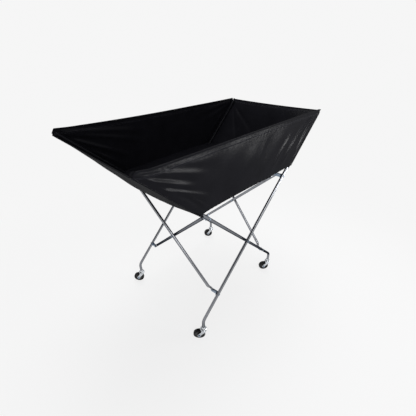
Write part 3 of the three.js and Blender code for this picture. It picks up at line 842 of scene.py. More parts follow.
@dataclass(frozen=True)
class LegPlace:
    """One leg: its name, its side (-1 near, 1 far) and where its top leans (-1 left, 1 right)."""

    name: str
    side: int
    lean: int

    @property
    def y(self) -> float:
        """The leg's plane in the row frame."""
        return float(middle_of(f"{self.name}_leg")[1])

    @property
    def depth(self) -> float:
        """Distance from the middle plane to the leg's plane."""
        return abs(self.y - ROW_SHIFT)

    def at(self, distance: float) -> Array:
        """Returns the point of the leg's axis at a distance above its crossing bolt."""
        return np.array([self.lean * distance * LINKAGE.sine, self.y,
                         LINKAGE.pin_height + distance * LINKAGE.cosine])

    @property
    def direction(self) -> Array:
        """Unit vector up the leg."""
        return np.array([self.lean * LINKAGE.sine, 0.0, LINKAGE.cosine])

    @property
    def foot(self) -> Array:
        """The swivel axis's point on the floor."""
        return np.array([-self.lean * LINKAGE.to_bend * LINKAGE.sine, self.y, 0.0])


LEGS = (
    LegPlace("near_outer", -1, 1),
    LegPlace("near_inner", -1, -1),
    LegPlace("far_outer", 1, 1),
    LegPlace("far_inner", 1, -1),
)


@dataclass(frozen=True)
class StrutPlace:
    """One strut: its end of the cart (-1 left, 1 right) and the side that its lower end is on."""

    end: int
    rising: int

    @property
    def name(self) -> str:
        """The strut's name."""
        return END[self.end] + ("_outer" if self.rising < 0 else "_inner")

    @property
    def offset(self) -> float:
        """How far along the cart the strut's axis lies from the hubs."""
        return -self.end * self.rising * LINKAGE.strut_offset

    def pin_point(self, level: str) -> Array:
        """Works out where a pin crosses the strut's axis line.

        Args:
            level: The "lower" or "upper" end.

        Returns:
            The point.
        """
        x, z = LINKAGE.hub(self.end, level)
        side = self.rising if level == "lower" else -self.rising
        return np.array([x + self.offset, side * LINKAGE.half_width + ROW_SHIFT, z])

    @property
    def along(self) -> Array:
        """Unit vector up the strut."""
        return unit(self.pin_point("upper") - self.pin_point("lower"))

    @property
    def pin(self) -> Array:
        """Direction of both pins.

        Returns:
            The unit vector, towards the side that the lugs are set to.
        """
        along = self.along
        pin = unit(np.array([along[1], -along[0], 0.0]))
        return -pin if pin[0] * self.offset > 0 else pin

    @property
    def length(self) -> float:
        """Distance between the strut's pins."""
        return float(np.linalg.norm(self.pin_point("upper") - self.pin_point("lower")))

    @property
    def crossing_bolt(self) -> Array:
        """Direction of the bolt at the crossing.

        Returns:
            +X, turned by half of the fold about the strut's hinge.
        """
        turn = unit(np.cross(self.along, Z_AXIS))
        spin = Matrix.Rotation(-LINKAGE.fold / 2, 3, Vector(turn))
        return np.array(spin @ Vector((1.0, 0.0, 0.0)))


STRUTS = tuple(StrutPlace(end, rising) for end in (-1, 1) for rising in (-1, 1))


# Frame


@dataclass
class TubeLeg:
    """A chromed leg tube, bent upright at its foot, with its plastic cap and the bolt at the crossing."""

    place: LegPlace
    bend_radius: float = 40 * MM
    rolled_edge: float = 0.8 * MM
    spacer: float = 1.5 * MM
    around: int = 40

    def path(self) -> Array:
        """Works out the tube's middle line, from its top down to its foot.

        The bend is an arc of the bend radius R: from the straight leg its centre line turns through the
        lean, with x = R (cos a - cos A) across and z = R (sin A - sin a) down as a goes from A to 0.

        Returns:
            The line's points.
        """
        lean, angle = self.place.lean, LINKAGE.lean
        tangent = self.bend_radius * math.tan(angle / 2)
        straight = np.linspace(LINKAGE.to_top, tangent - LINKAGE.to_bend, 40)
        upper = self.place.at(0)[None] + straight[:, None] * self.place.direction[None]
        rest = angle * (1 - np.linspace(0, 1, 15)[1:])
        across = self.bend_radius * (np.cos(rest) - math.cos(angle))
        down = self.bend_radius * (math.sin(angle) - np.sin(rest))
        bend = upper[-1] + np.stack([-lean * across, np.zeros_like(rest), -down], axis=1)
        foot = np.linspace(bend[-1, 2], LINKAGE.foot_height, 8)[1:]
        stub = np.stack([np.full_like(foot, bend[-1, 0]), np.full_like(foot, self.place.y), foot], axis=1)
        return np.concatenate([upper, bend, stub])

    def tube(self) -> Surface:
        """Carries the tube's circle along its line, with a rolled edge at each end.

        Returns:
            The tube.
        """
        path = self.path()
        ends = np.array([0.02, 0.3, 1.0]) * self.rolled_edge
        top = path[0] - ends[:, None] * unit(path[0] - path[1])[None]
        foot = path[-1] - ends[::-1, None] * unit(path[-1] - path[-2])[None]
        line = np.concatenate([top, path[1:-1], foot])
        radius = np.full(len(line), LINKAGE.tube_radius)
        radius[[0, 1, -2, -1]] -= np.array([0.7, 0.25, 0.25, 0.7]) * MM
        return swept(line, radius, Y_AXIS, self.around)

    def crossing_bolt(self) -> Surface:
        """Makes the bolt, nut, spacer and washers where this outer leg crosses its inner one.

        Returns:
            All of them.
        """
        outward = self.place.side * Y_AXIS
        x, y, z = axes_along(outward)
        centre = self.place.at(0)
        inner = 2 * LINKAGE.tube_radius + self.spacer + LINKAGE.tube_radius + CLEARANCE
        outer = LINKAGE.tube_radius + CLEARANCE
        washer = disc(BOLT.washer_radius, 0.0, BOLT.washer_height, 40, 0.3 * MM)
        spacer = disc(BOLT.washer_radius, 0.0, self.spacer, 40, 0.3 * MM)
        head = hexagon_head(BOLT.head_radius, BOLT.head_height - BOLT.washer_height)
        return joined([
            disc(BOLT.shank, -inner, outer, 24).placed(centre, x, y, z),
            washer.placed(centre + outward * outer, x, y, z),
            head.placed(centre + outward * (outer + BOLT.washer_height), x, y, z),
            spacer.placed(centre - outward * (LINKAGE.tube_radius + self.spacer), x, y, z),
            washer.placed(centre - outward * inner, -x, y, -z),
            head.placed(centre - outward * (inner + BOLT.washer_height), -x, y, -z),
        ])

    def make(self, shop: Workshop) -> None:
        """Builds the leg's pieces on the leg's body.

        Args:
            shop: Makes the pieces.
        """
        name = self.place.name
        body = f"{name}_leg"
        shop.rigid(f"{name}_tube", self.tube(), Look.TUBE, body, f"{name}_leg", sharp_degrees=60)
        shop.dress_node(f"{name}_leg_cap", Look.PLASTIC)
        if name.endswith("outer"):
            side = SIDE[self.place.side]
            shop.rigid(f"{side}_crossing_bolt", self.crossing_bolt(), Look.ZINC, body, f"{side}_leg_bolt")


@dataclass
class Strut:
    """A chromed strut tube with flattened ends, and the bolt where it crosses its partner."""

    place: StrutPlace
    lug_thickness: float = 5 * MM
    lug_radius: float = 8.5 * MM
    lug_length: float = 13 * MM
    runout: float = 20 * MM
    lug_power: float = 0.45
    nut_gap: float = 0.9 * MM
    around: int = 40

    def rings(self) -> Array:
        """Works out the strut's rings, which go from a flat lug to the round tube and back.

        A ring is offset + a |cos t|^k and b |sin t|^k with their signs, a and b the half thickness and half
        breadth; k goes from 0.45 on the flat lug to 1 on the tube. A lug's tip is round: b = sqrt(R^2 - h^2).

        Returns:
            Points as (rings, points a ring, 3), in the strut's own frame with +Z up the strut.
        """
        tip = -self.lug_radius * np.cos(np.linspace(0.06, np.pi / 2, 12))
        run = self.lug_length + self.runout * np.linspace(0, 1, 14)
        near = np.concatenate([tip, run])
        length = self.place.length
        height = np.concatenate([near, np.linspace(near[-1], length - near[-1], 30)[1:-1],
                                 (length - near)[::-1]])
        inside = np.minimum(height, length - height)
        share = smooth((inside - self.lug_length) / self.runout)
        tube = LINKAGE.tube_radius
        thick = mix(self.lug_thickness / 2, tube, share)
        lug = np.sqrt(np.maximum(self.lug_radius**2 - np.minimum(inside, 0) ** 2, 0))
        broad = mix(lug, tube, share)
        offset = mix(LINKAGE.strut_offset, 0.0, share)
        power = mix(self.lug_power, 1.0, share)[:, None]
        angle = angles(self.around) + np.pi / self.around
        c, s = np.cos(angle)[None], np.sin(angle)[None]
        x = offset[:, None] + thick[:, None] * np.sign(c) * np.abs(c) ** power
        y = broad[:, None] * np.sign(s) * np.abs(s) ** power
        return np.stack([x, y, np.broadcast_to(height[:, None], x.shape)], axis=-1)

    def frame(self) -> tuple[Array, Array, Array, Array]:
        """Returns the strut's origin at its lower pin and its three axes: pin, across and along."""
        pin, along = self.place.pin, self.place.along
        return self.place.pin_point("lower"), pin, np.cross(along, pin), along

    def bolt(self) -> Surface:
        """Makes the crossing bolt with its two heads, through this strut and its partner.

        Returns:
            The bolt.
        """
        way = self.place.crossing_bolt * -self.place.end
        x, y, z = axes_along(way)
        centre = self.place.pin_point("lower") + self.place.along * self.place.length / 2
        back = LINKAGE.tube_radius + self.nut_gap
        front = 2 * LINKAGE.strut_offset + back
        shank = disc(BOLT.shank, -back, front, 24)
        head = hexagon_head(BOLT.head_radius, BOLT.head_height)
        return joined([shank.placed(centre, x, y, z), head.placed(centre + way * front, x, y, z),
                       head.placed(centre - way * back, -x, y, -z)])

    def make(self, shop: Workshop) -> None:
        """Builds the strut's pieces on its body.

        Args:
            shop: Makes the pieces.
        """
        name = self.place.name
        surface = closed_rings(self.rings()).placed(*self.frame())
        shop.rigid(f"{name}_strut_tube", surface, Look.TUBE, f"{name}_strut", f"{name}_strut",
                   sharp_degrees=50)
        if self.place.rising < 0:
            end = END[self.place.end]
            shop.rigid(f"{end}_crossing_strut_bolt", self.bolt(), Look.ZINC, f"{name}_strut",
                       f"{end}_strut_bolt")


@dataclass
class Bracket:
    """A clevis folded from zinc-plated sheet, riveted to a leg, with the pin that holds a strut's lug."""

    leg: LegPlace
    level: str
    sheet: float = 2 * MM
    width: float = 18 * MM
    height: float = 20 * MM
    ear_radius: float = 8 * MM
    pin_radius: float = 3 * MM
    rivet_radius: float = 2.4 * MM
    head_radius: float = 5.5 * MM
    head_height: float = 2.2 * MM
    outline_power: int = 6

    def strut(self) -> StrutPlace:
        """Finds the strut that ends at this bracket.

        Returns:
            Its place.
        """
        upper = self.level == "upper"
        end = self.leg.lean if upper else -self.leg.lean
        return StrutPlace(end, -self.leg.side if upper else self.leg.side)

    def far(self) -> float:
        """Distance from the strut's pin plane to the bracket's back, against the leg."""
        origin = self.strut().pin_point(self.level)
        return abs(self.leg.y - origin[1]) - LINKAGE.tube_radius - CLEARANCE

    def hub_at(self, out: float) -> Array:
        """Returns the point of the rivet's axis at a distance out from the strut's pin plane."""
        hub = float(np.sign(self.strut().pin[0])) * LINKAGE.strut_offset
        return self.strut().pin_point(self.level) + np.array([hub, self.leg.side * out, 0.0])

    def ears(self) -> Surface:
        """Folds a strip of sheet into the two ears: a plan line, with a half height at each of its points.

        The half height is sqrt(R^2 - d^2) round an ear's tip, a distance d beyond the pin, and R from there
        on.

        Returns:
            The folded strip.
        """
        place = self.strut()
        pin = place.pin
        outward = np.array([-pin[1], pin[0], 0.0])
        outward *= np.sign(outward[1] * self.leg.side)
        square = np.cross(outward, Z_AXIS)
        lug = LINKAGE.strut_offset * float(square @ pin)
        half = LINKAGE.pin_gap + self.sheet / 2
        back = self.leg.side * (self.far() - self.sheet / 2)
        line, depth = [], []
        for sign in (1, -1):
            c = lug + sign * half
            reach = (back - c * square[1]) / outward[1]
            d = np.concatenate([-self.ear_radius * np.cos(np.linspace(0.05, np.pi / 2, 10)),
                                np.linspace(0, reach, 6)[1:]])
            d = d if sign > 0 else d[::-1]
            line.append(square * c + outward * d[:, None])
            depth.append(d)
        d = np.concatenate(depth)
        plan = np.concatenate(line)
        tall = np.sqrt(np.maximum(self.ear_radius**2 - np.minimum(d, 0) ** 2, 0))
        across = np.linspace(-1, 1, 9)
        middle = plan[:, None] + (tall[:, None] * across[None])[..., None] * Z_AXIS
        surface = thick_sheet(middle, self.sheet)
        surface.points += place.pin_point(self.level)
        return surface

    def plate(self) -> Surface:
        """Makes the back plate as a slab whose outline is |x/a|^6 + |z/b|^6 = 1, with eased edges.

        Returns:
            The plate.
        """
        angle = angles(64)
        c, s, n = np.cos(angle), np.sin(angle), self.outline_power
        size = (np.abs(c) ** n + np.abs(s) ** n) ** (-1 / n)
        x, y = self.width / 2 * size * c, self.height / 2 * size * s
        rings = [np.stack([x * share, y * share, np.full_like(x, (depth - 1) * self.sheet)], axis=-1)
                 for depth, share in ((0.0, 0.96), (0.15, 1.0), (0.85, 1.0), (1.0, 0.96))]
        plate = closed_rings(np.array(rings))
        return plate.placed(self.hub_at(self.far()), X_AXIS, Z_AXIS, self.leg.side * Y_AXIS)

    def rivet(self) -> Surface:
        """Turns the rivet that the bracket turns on: a shank through the leg and a domed head outside it.

        Returns:
            The rivet.
        """
        seat = self.far() + 2 * LINKAGE.tube_radius + 2 * CLEARANCE
        back = -seat + self.far() - self.sheet
        profile = [(0.0, back), (self.rivet_radius, back), (self.rivet_radius, 0.0), (self.head_radius, 0.0),
                   *dome(self.head_radius, 0.5 * MM, self.head_height, 8)]
        return turned(profile, 40).placed(self.hub_at(seat), *axes_along(self.leg.side * Y_AXIS))

    def pin(self) -> Surface:
        """Turns the clevis pin, with a low domed head at both ends.

        Returns:
            The pin.
        """
        place = self.strut()
        seat = LINKAGE.pin_gap + self.sheet + CLEARANCE
        upper = [(self.pin_radius, seat), (self.head_radius, seat),
                 *dome(self.head_radius, seat + 0.4 * MM, seat + self.head_height, 7)]
        profile = [(r, -h) for r, h in reversed(upper)] + upper
        centre = place.pin_point(self.level) + place.pin * LINKAGE.strut_offset
        return turned(profile, 36).placed(centre, *axes_along(place.pin))

    def make(self, shop: Workshop) -> None:
        """Builds the bracket and its pin on the bracket's body.

        Args:
            shop: Makes the pieces.
        """
        name = f"{self.leg.name}_{self.level}"
        body = f"{name}_bracket"
        clevis = joined([self.ears(), self.plate(), self.rivet()])
        shop.rigid(f"{name}_clevis", clevis, Look.ZINC, body, f"{name}_bracket", sharp_degrees=35)
        shop.rigid(f"{name}_clevis_pin", self.pin(), Look.ZINC, body, f"{name}_pin")


# Casters


@dataclass
class Caster:
    """A swivel caster: ball race and king pin in the leg's stem, a pressed fork, a wheel and its axle."""

    place: LegPlace
    turn: float = math.radians(133.1)
    trail: float = 22 * MM
    wheel_sides: int = 24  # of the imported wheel, which stands on one of its flats
    axle_height: float = 63.5 / 2 * math.cos(math.pi / wheel_sides) * MM
    axle_radius: float = 4 * MM
    nut_radius: float = 6.5 * MM
    nut_height: float = 3.5 * MM
    tyre_half: float = 10 * MM
    hub_half: float = 12 * MM
    core_radius: float = 21 * MM
    fork_top: float = 69.5 * MM
    fork_sheet: float = 2.5 * MM
    fork_gap: float = 12.3 * MM
    top_radius: float = 17 * MM
    boss_radius: float = 9 * MM
    edge_radius: float = 9.5 * MM
    shoulder_radius: float = 6.5 * MM
    race_height: float = 11 * MM
    stem_length: float = 28 * MM

    def axes(self) -> tuple[Array, Array, Array, Array]:
        """Returns the caster's origin on the floor, and its trail, wheel axis and upright directions."""
        x = np.array([math.cos(self.turn), math.sin(self.turn), 0.0])
        return self.place.foot, x, np.cross(Z_AXIS, x), Z_AXIS

    def head(self) -> Surface:
        """Turns the race, its dome and the stem that fills the leg's foot, with the king pin below.

        Returns:
            The whole head, in the caster's own frame.
        """
        low = self.fork_top + CLEARANCE
        top = low + self.race_height
        seat = LINKAGE.foot_height - CLEARANCE
        stem = LINKAGE.foot_height + self.stem_length
        under = self.fork_top - self.fork_sheet - CLEARANCE
        radius = self.top_radius
        profile = [
            (0.0, under - 3.5 * MM), (8 * MM, under - 3.5 * MM), (8 * MM, under), (5 * MM, under),
            (5 * MM, low), (radius - 1 * MM, low), (radius, low + 1.2 * MM),
            (radius, low + 4.2 * MM), (radius - 1.3 * MM, low + 4.9 * MM),
            (radius - 1.3 * MM, low + 5.7 * MM), (radius, low + 6.4 * MM),
            (radius - 0.4 * MM, low + 8.6 * MM), (radius - 2.6 * MM, top - 0.3 * MM),
            (10.5 * MM, top + 1.2 * MM), (8.6 * MM, top + 5.6 * MM), (7.9 * MM, seat),
            (5.6 * MM, seat), (5.6 * MM, stem), (0.0, stem),
        ]
        return turned(profile, 64, 0.7 * MM)

    def fork(self) -> Surface:
        """Presses the fork from one strip: down one side, over the top and down the other.

        The strip's line across the wheel is rounded at both shoulders. At each level its two edges run from
        the top's circle to the boss round the axle: x = mix(top edge, boss edge, share of the way down), and
        below the axle both edges follow the boss's circle.

        Returns:
            The pressed fork, in the caster's own frame.
        """
        half = self.fork_gap + self.fork_sheet / 2
        top = self.fork_top - self.fork_sheet / 2
        low = self.axle_height - self.boss_radius
        corners = np.array([[-half, low], [-half, top], [half, top], [half, low]])
        line = rounded(corners, self.shoulder_radius, 8)
        line = np.concatenate([np.linspace(line[0], line[1], 26)[:-1], line[1:-1],
                               np.linspace(line[-2], line[-1], 26)[1:]])
        y, z = line[:, 0], line[:, 1]
        down = smooth((top - z) / (top - self.axle_height))
        chord = np.sqrt(np.maximum(self.top_radius**2 - y**2, self.edge_radius**2))
        dip = np.clip((self.axle_height - z) / self.boss_radius, 0, 0.999)
        boss = self.boss_radius * np.sqrt(1 - dip**2)
        back = mix(-chord, self.trail - boss, down)
        front = mix(chord, self.trail + boss, down)
        across = np.linspace(0, 1, 15)
        x = mix(back[:, None], front[:, None], across[None])
        middle = np.stack(np.broadcast_arrays(x, y[:, None], z[:, None]), axis=-1)
        return thick_sheet(middle, self.fork_sheet)

    def tyre(self) -> Surface:
        """Turns the rubber tyre: a flat tread with round shoulders, and a bead that grips the core.

        Returns:
            The tyre.
        """
        r, w = self.axle_height, self.tyre_half
        half = [(self.core_radius, -w + 1.6 * MM), (self.core_radius + 2 * MM, -w + 0.7 * MM),
                (r - 4.5 * MM, -w), (r - 1.2 * MM, -w + 1.6 * MM), (r - 0.1 * MM, -w + 4.5 * MM), (r, 0.0)]
        return self.on_axle(self.ring(half, 96, 1.4 * MM))

    def core(self) -> Surface:
        """Turns the wheel's core: a hub, a dished web and a rim under the tyre.

        Returns:
            The core.
        """
        w = self.tyre_half
        half = [(4.3 * MM, -self.hub_half), (9 * MM, -self.hub_half), (10.2 * MM, -w + 2.2 * MM),
                (15 * MM, -w + 4.4 * MM), (18.5 * MM, -w + 2.4 * MM), (self.core_radius, -w + 1.8 * MM)]
        return self.on_axle(self.ring(half, 72, 0.8 * MM))

    @staticmethod
    def ring(half: list[tuple[float, float]], sides: int, fillet: float) -> Surface:
        """Turns a section that doesn't reach the axis, and joins its end to its start.

        Args:
            half: Radius and height round the section's lower half, which its upper half mirrors.
            sides: Points round the ring.
            fillet: Radius that rounds the section's corners.

        Returns:
            The closed ring.
        """
        profile = half + [(r, -h) for r, h in reversed(half) if h]
        start = (np.array(profile[0]) + np.array(profile[-1])) / 2
        line = rounded(np.array([start, *profile, start]), fillet, 3)[:-1]
        quads = grid_quads(len(line) + 1, sides, True) % (len(line) * sides)
        return Surface(revolved(line, sides).reshape(-1, 3), quads).facing_out()

    def on_axle(self, surface: Surface) -> Surface:
        """Lays a turned surface on the axle, its own Z along the wheel's axis."""
        origin = np.array([self.trail, 0.0, self.axle_height])
        return surface.placed(origin, X_AXIS, Z_AXIS, Y_AXIS)

    def axle(self) -> Surface:
        """Makes the axle bolt: a shank, a hexagon head and a nut.

        Returns:
            The bolt.
        """
        seat = self.fork_gap + self.fork_sheet + CLEARANCE
        shank = disc(self.axle_radius, -seat, seat, 32)
        head = hexagon_head(self.nut_radius, self.nut_height)
        lifted = Surface(head.points + [0, 0, seat], head.quads, head.triangles)
        mirrored = Surface(lifted.points * [1, 1, -1], head.quads, head.triangles).facing_out()
        return self.on_axle(joined([shank, lifted, mirrored]))

    def make(self, shop: Workshop) -> None:
        """Builds the caster's pieces on the leg, fork and wheel bodies.

        Args:
            shop: Makes the pieces.
        """
        name, axes = self.place.name, self.axes()
        for piece, surface, look, body, node, sharp in (
            ("race", self.head(), Look.CASTER, "leg", "mount", 40),
            ("fork", self.fork(), Look.CASTER, "caster", "fork", 50),
            ("axle", self.axle(), Look.ZINC, "caster", "axle", 40),
            ("tyre", self.tyre(), Look.TYRE, "wheel", "wheel", 40),
            ("core", self.core(), Look.PLASTIC, "wheel", "wheel", 40),
        ):
            shop.rigid(f"{name}_{piece}", surface.placed(*axes), look, f"{name}_{body}",
                       f"{name}_caster_{node}", sharp_degrees=sharp)


# Basket


def bell(distance: Array, width: Array | float) -> Array:
    """Returns exp(-(d / w)^2): 1 on a line, and fading on both sides of it."""
    return np.exp(-((distance / width) ** 2))


def panel_rows(count: int) -> Array:
    """Returns a column of shares of the way up a panel, 26 of them in the tenth below the rim."""
    return np.concatenate([np.linspace(0, 0.9, count - 25)[:-1], np.linspace(0.9, 1, 26)])[:, None]


@dataclass(frozen=True)
class Fold:
    """A long soft fold in cloth, which leaves a corner and dies away.

    At a share t of the way along it and d beside it, it stands out by height . sin(pi t^0.7) times
    exp(-(d / w)^2), less 0.35 of the same at twice the width. The width w grows from narrow to wide, and
    the fold's line bows to its left by 4 t (1 - t) bow. All its lengths are in millimetres.
    """

    start: tuple[float, float]
    end: tuple[float, float]
    height: float
    narrow: float
    wide: float
    bow: float = 0.0

    def offset(self, x: Array, z: Array) -> Array:
        """Works out how far the fold lifts the cloth.

        Args:
            x: Place along or across the cart.
            z: Height.

        Returns:
            The lift.
        """
        run = (np.array(self.end) - np.array(self.start)) * MM
        length = float(np.hypot(*run))
        along = run / length
        dx, dz = x - self.start[0] * MM, z - self.start[1] * MM
        share = np.clip((dx * along[0] + dz * along[1]) / length, 0, 1)
        d = dz * along[0] - dx * along[1] - 4 * share * (1 - share) * self.bow * MM
        width = mix(self.narrow, self.wide, share) * MM
        ridge = bell(d, width) - 0.35 * bell(d, 2 * width)
        return self.height * MM * np.sin(np.pi * share**0.7) * ridge


@dataclass(frozen=True)
class BasketSizes:
    """Sizes of the open basket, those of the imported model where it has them."""

    mouth_height: float = 1031 * MM
    mouth_half: float = 552 * MM
    end_mouth_height: float = 1010 * MM
    right_rim_rise: float = 11 * MM
    floor_height: float = 784 * MM
    floor_half: float = 306 * MM
    end_rim_sag: float = 16 * MM
    end_bulge: float = 22 * MM
    bulge_peak: float = 0.26
    end_drop: float = 14 * MM
    sleeve_radius: float = 8.7 * MM
    cloth: float = 1.1 * MM
    hem: float = 22 * MM
    bead: float = 7 * MM
    seam_overlap: float = 9 * MM
    corner_reach: float = 566 * MM
    floor_drop: float = 21.7 * MM
    bead_height: float = 2.2 * MM
    hem_fold: float = 0.9 * MM
    stitch_dent: float = 0.45 * MM
    pucker_width: float = 9 * MM
    pucker_spacing: float = 27 * MM


SIZES = BasketSizes()
CLOTH_SHARP = 70.0  # degrees; softer edges than this are smooth in cloth


def depth_at(x: Array) -> Array:
    """Returns the distance from the middle plane to a long panel's inner face.

    It swings smoothly from just outside the inner leg's sleeve to just outside the outer leg's.
    """
    inner, outer = (LEGS[i].depth + SIZES.sleeve_radius + CLEARANCE for i in (1, 0))
    return mix(inner, outer, smooth((x + SIZES.floor_half) / (2 * SIZES.floor_half)))


def hem_profile(edge: Array) -> Array:
    """Works out the cloth's thickness by its distance from the rim.

    A rolled bead of 1 + cos at the very rim, twice the cloth down to the hem's stitches, which dent it, and
    then the cloth.

    Args:
        edge: Distance from the rim.

    Returns:
        The thickness.
    """
    bead = SIZES.bead_height / 2 * (1 + np.cos(np.pi * np.clip(edge / SIZES.bead, 0, 1)))
    fold = SIZES.hem_fold * smooth((SIZES.hem + 1.5 * MM - edge) / (3 * MM))
    return SIZES.cloth + bead + fold - SIZES.stitch_dent * bell(edge - SIZES.hem, 1.4 * MM)


@dataclass
class LongPanel:
    """A long side of the basket, hung between the sleeves of its two legs, with a rolled hem on its rim."""

    side: int
    columns: int = 321
    rows: int = 81
    drop: float = 245 * MM
    near_slack: float = 13 * MM
    near_corner: float = 6 * MM
    far_sag: float = 6 * MM
    far_corner: float = 2 * MM
    bottom_in: float = 1.5 * MM
    tip_turn: float = 12 * MM
    hollow: float = 3.2 * MM
    belly: float = 5 * MM
    pucker: float = 0.4 * MM
    folds: tuple[Fold, ...] = ()

    def rim_drop(self, u: Array) -> Array:
        """Works out how far the rim lies below the level of the right corners.

        On the near side it lies 13 mm low along its left part and comes up smoothly over its middle, and its
        left corner stands 6 mm above that. On the far side it sags by a shallow arch.

        Args:
            u: Share of the way from the left corner to the right.

        Returns:
            The drop.
        """
        if self.side > 0:
            return self.far_sag * arch(u) - self.far_corner * (1 - smooth(u / 0.06))
        slack = self.near_slack * (1 - smooth((u - 0.15) / 0.65))
        return slack - self.near_corner * (1 - smooth(u / 0.045))

    def edge_at(self, v: Array) -> Array:
        """Works out how far from the middle the panel's two side seams lie.

        They follow the legs' middle lines with an overlap outside them, stay inside them at the bottom, where
        the legs come out of the basket, and turn in to the corner's tip above the legs' ends.

        Args:
            v: Share of the way up.

        Returns:
            The distance.
        """
        leg = LINKAGE.reach(mix(SIZES.floor_height, SIZES.mouth_height, v))
        beyond = mix(-self.bottom_in, SIZES.seam_overlap, smooth(v / 0.16))
        tip = SIZES.corner_reach - self.tip_turn * np.clip((v - 0.93) / 0.07, 0, 1)
        return np.minimum(leg + beyond, tip)

    def offset(self, x: Array, z: Array, u: Array, v: Array) -> Array:
        """Works out how far the cloth stands out from its plane, away from the basket's middle.

        It is the sum of slow waves, the folds from its corners, a hollow beside each sleeve so that the
        sleeve stands out as a ridge, a slight belly, and small puckers along the hem and the lower seam.

        Args:
            x: Place along the cart.
            z: Height.
            u: Share of the way along.
            v: Share of the way up.

        Returns:
            The offset.
        """
        waves = (1.2 * MM * wave(x / 0.31 + 0.8 * v)
                 + 0.9 * MM * wave(x / 0.17 - 1.3 * v + 0.2) * arch(u)) * np.sin(np.pi * v)
        folds = sum(fold.offset(x, z) for fold in self.folds)
        beside = (LINKAGE.reach(z) - np.abs(x)) * LINKAGE.cosine
        hollow = -self.hollow * smooth((beside - 6 * MM) / (20 * MM)) * arch(u) ** 0.15
        belly = self.belly * arch(u) * np.sin(np.pi * np.clip(v, 0, 1) ** 0.8)
        pucker = self.pucker * np.sin(2 * np.pi * x / SIZES.pucker_spacing + 2.6 * np.sin(x / 0.041))
        hem = 0.6 * pucker * bell((1 - v) * self.drop - SIZES.hem, SIZES.pucker_width)
        seam = 1.3 * pucker * bell(v * self.drop, 14 * MM)
        return waves + folds + hollow + belly + hem + seam

    def surface(self) -> Surface:
        """Works out the panel as a grid: x and z spread from the short floor edge to the long rim.

        Returns:
            The panel as a closed shell.
        """
        u = np.linspace(0, 1, self.columns)[None, :]
        v = panel_rows(self.rows)
        half = self.edge_at(v)
        x = mix(-half, half, u)
        top = SIZES.mouth_height - self.rim_drop(u)
        z = mix(SIZES.floor_height - 1 * MM, top, v)
        inner = depth_at(x) + CLEARANCE + SIZES.cloth
        y = self.side * (inner + self.offset(x, z, u, v)) + ROW_SHIFT
        middle = np.stack([x, y, z], axis=-1)
        edge = (1 - v) * (top - SIZES.floor_height)
        cloth = np.stack([x, z], axis=-1)
        return thick_sheet(middle, hem_profile(edge), cloth, edge)

    def make(self, shop: Workshop) -> None:
        """Builds the panel between the two legs that hold it.

        Args:
            shop: Makes the pieces.
        """
        side = SIDE[self.side]
        obj = shop.piece(f"basket_{side}_side", self.surface(), Look.CLOTH, CLOTH_SHARP)
        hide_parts(f"basket_{side}_panel")
        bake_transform(obj)


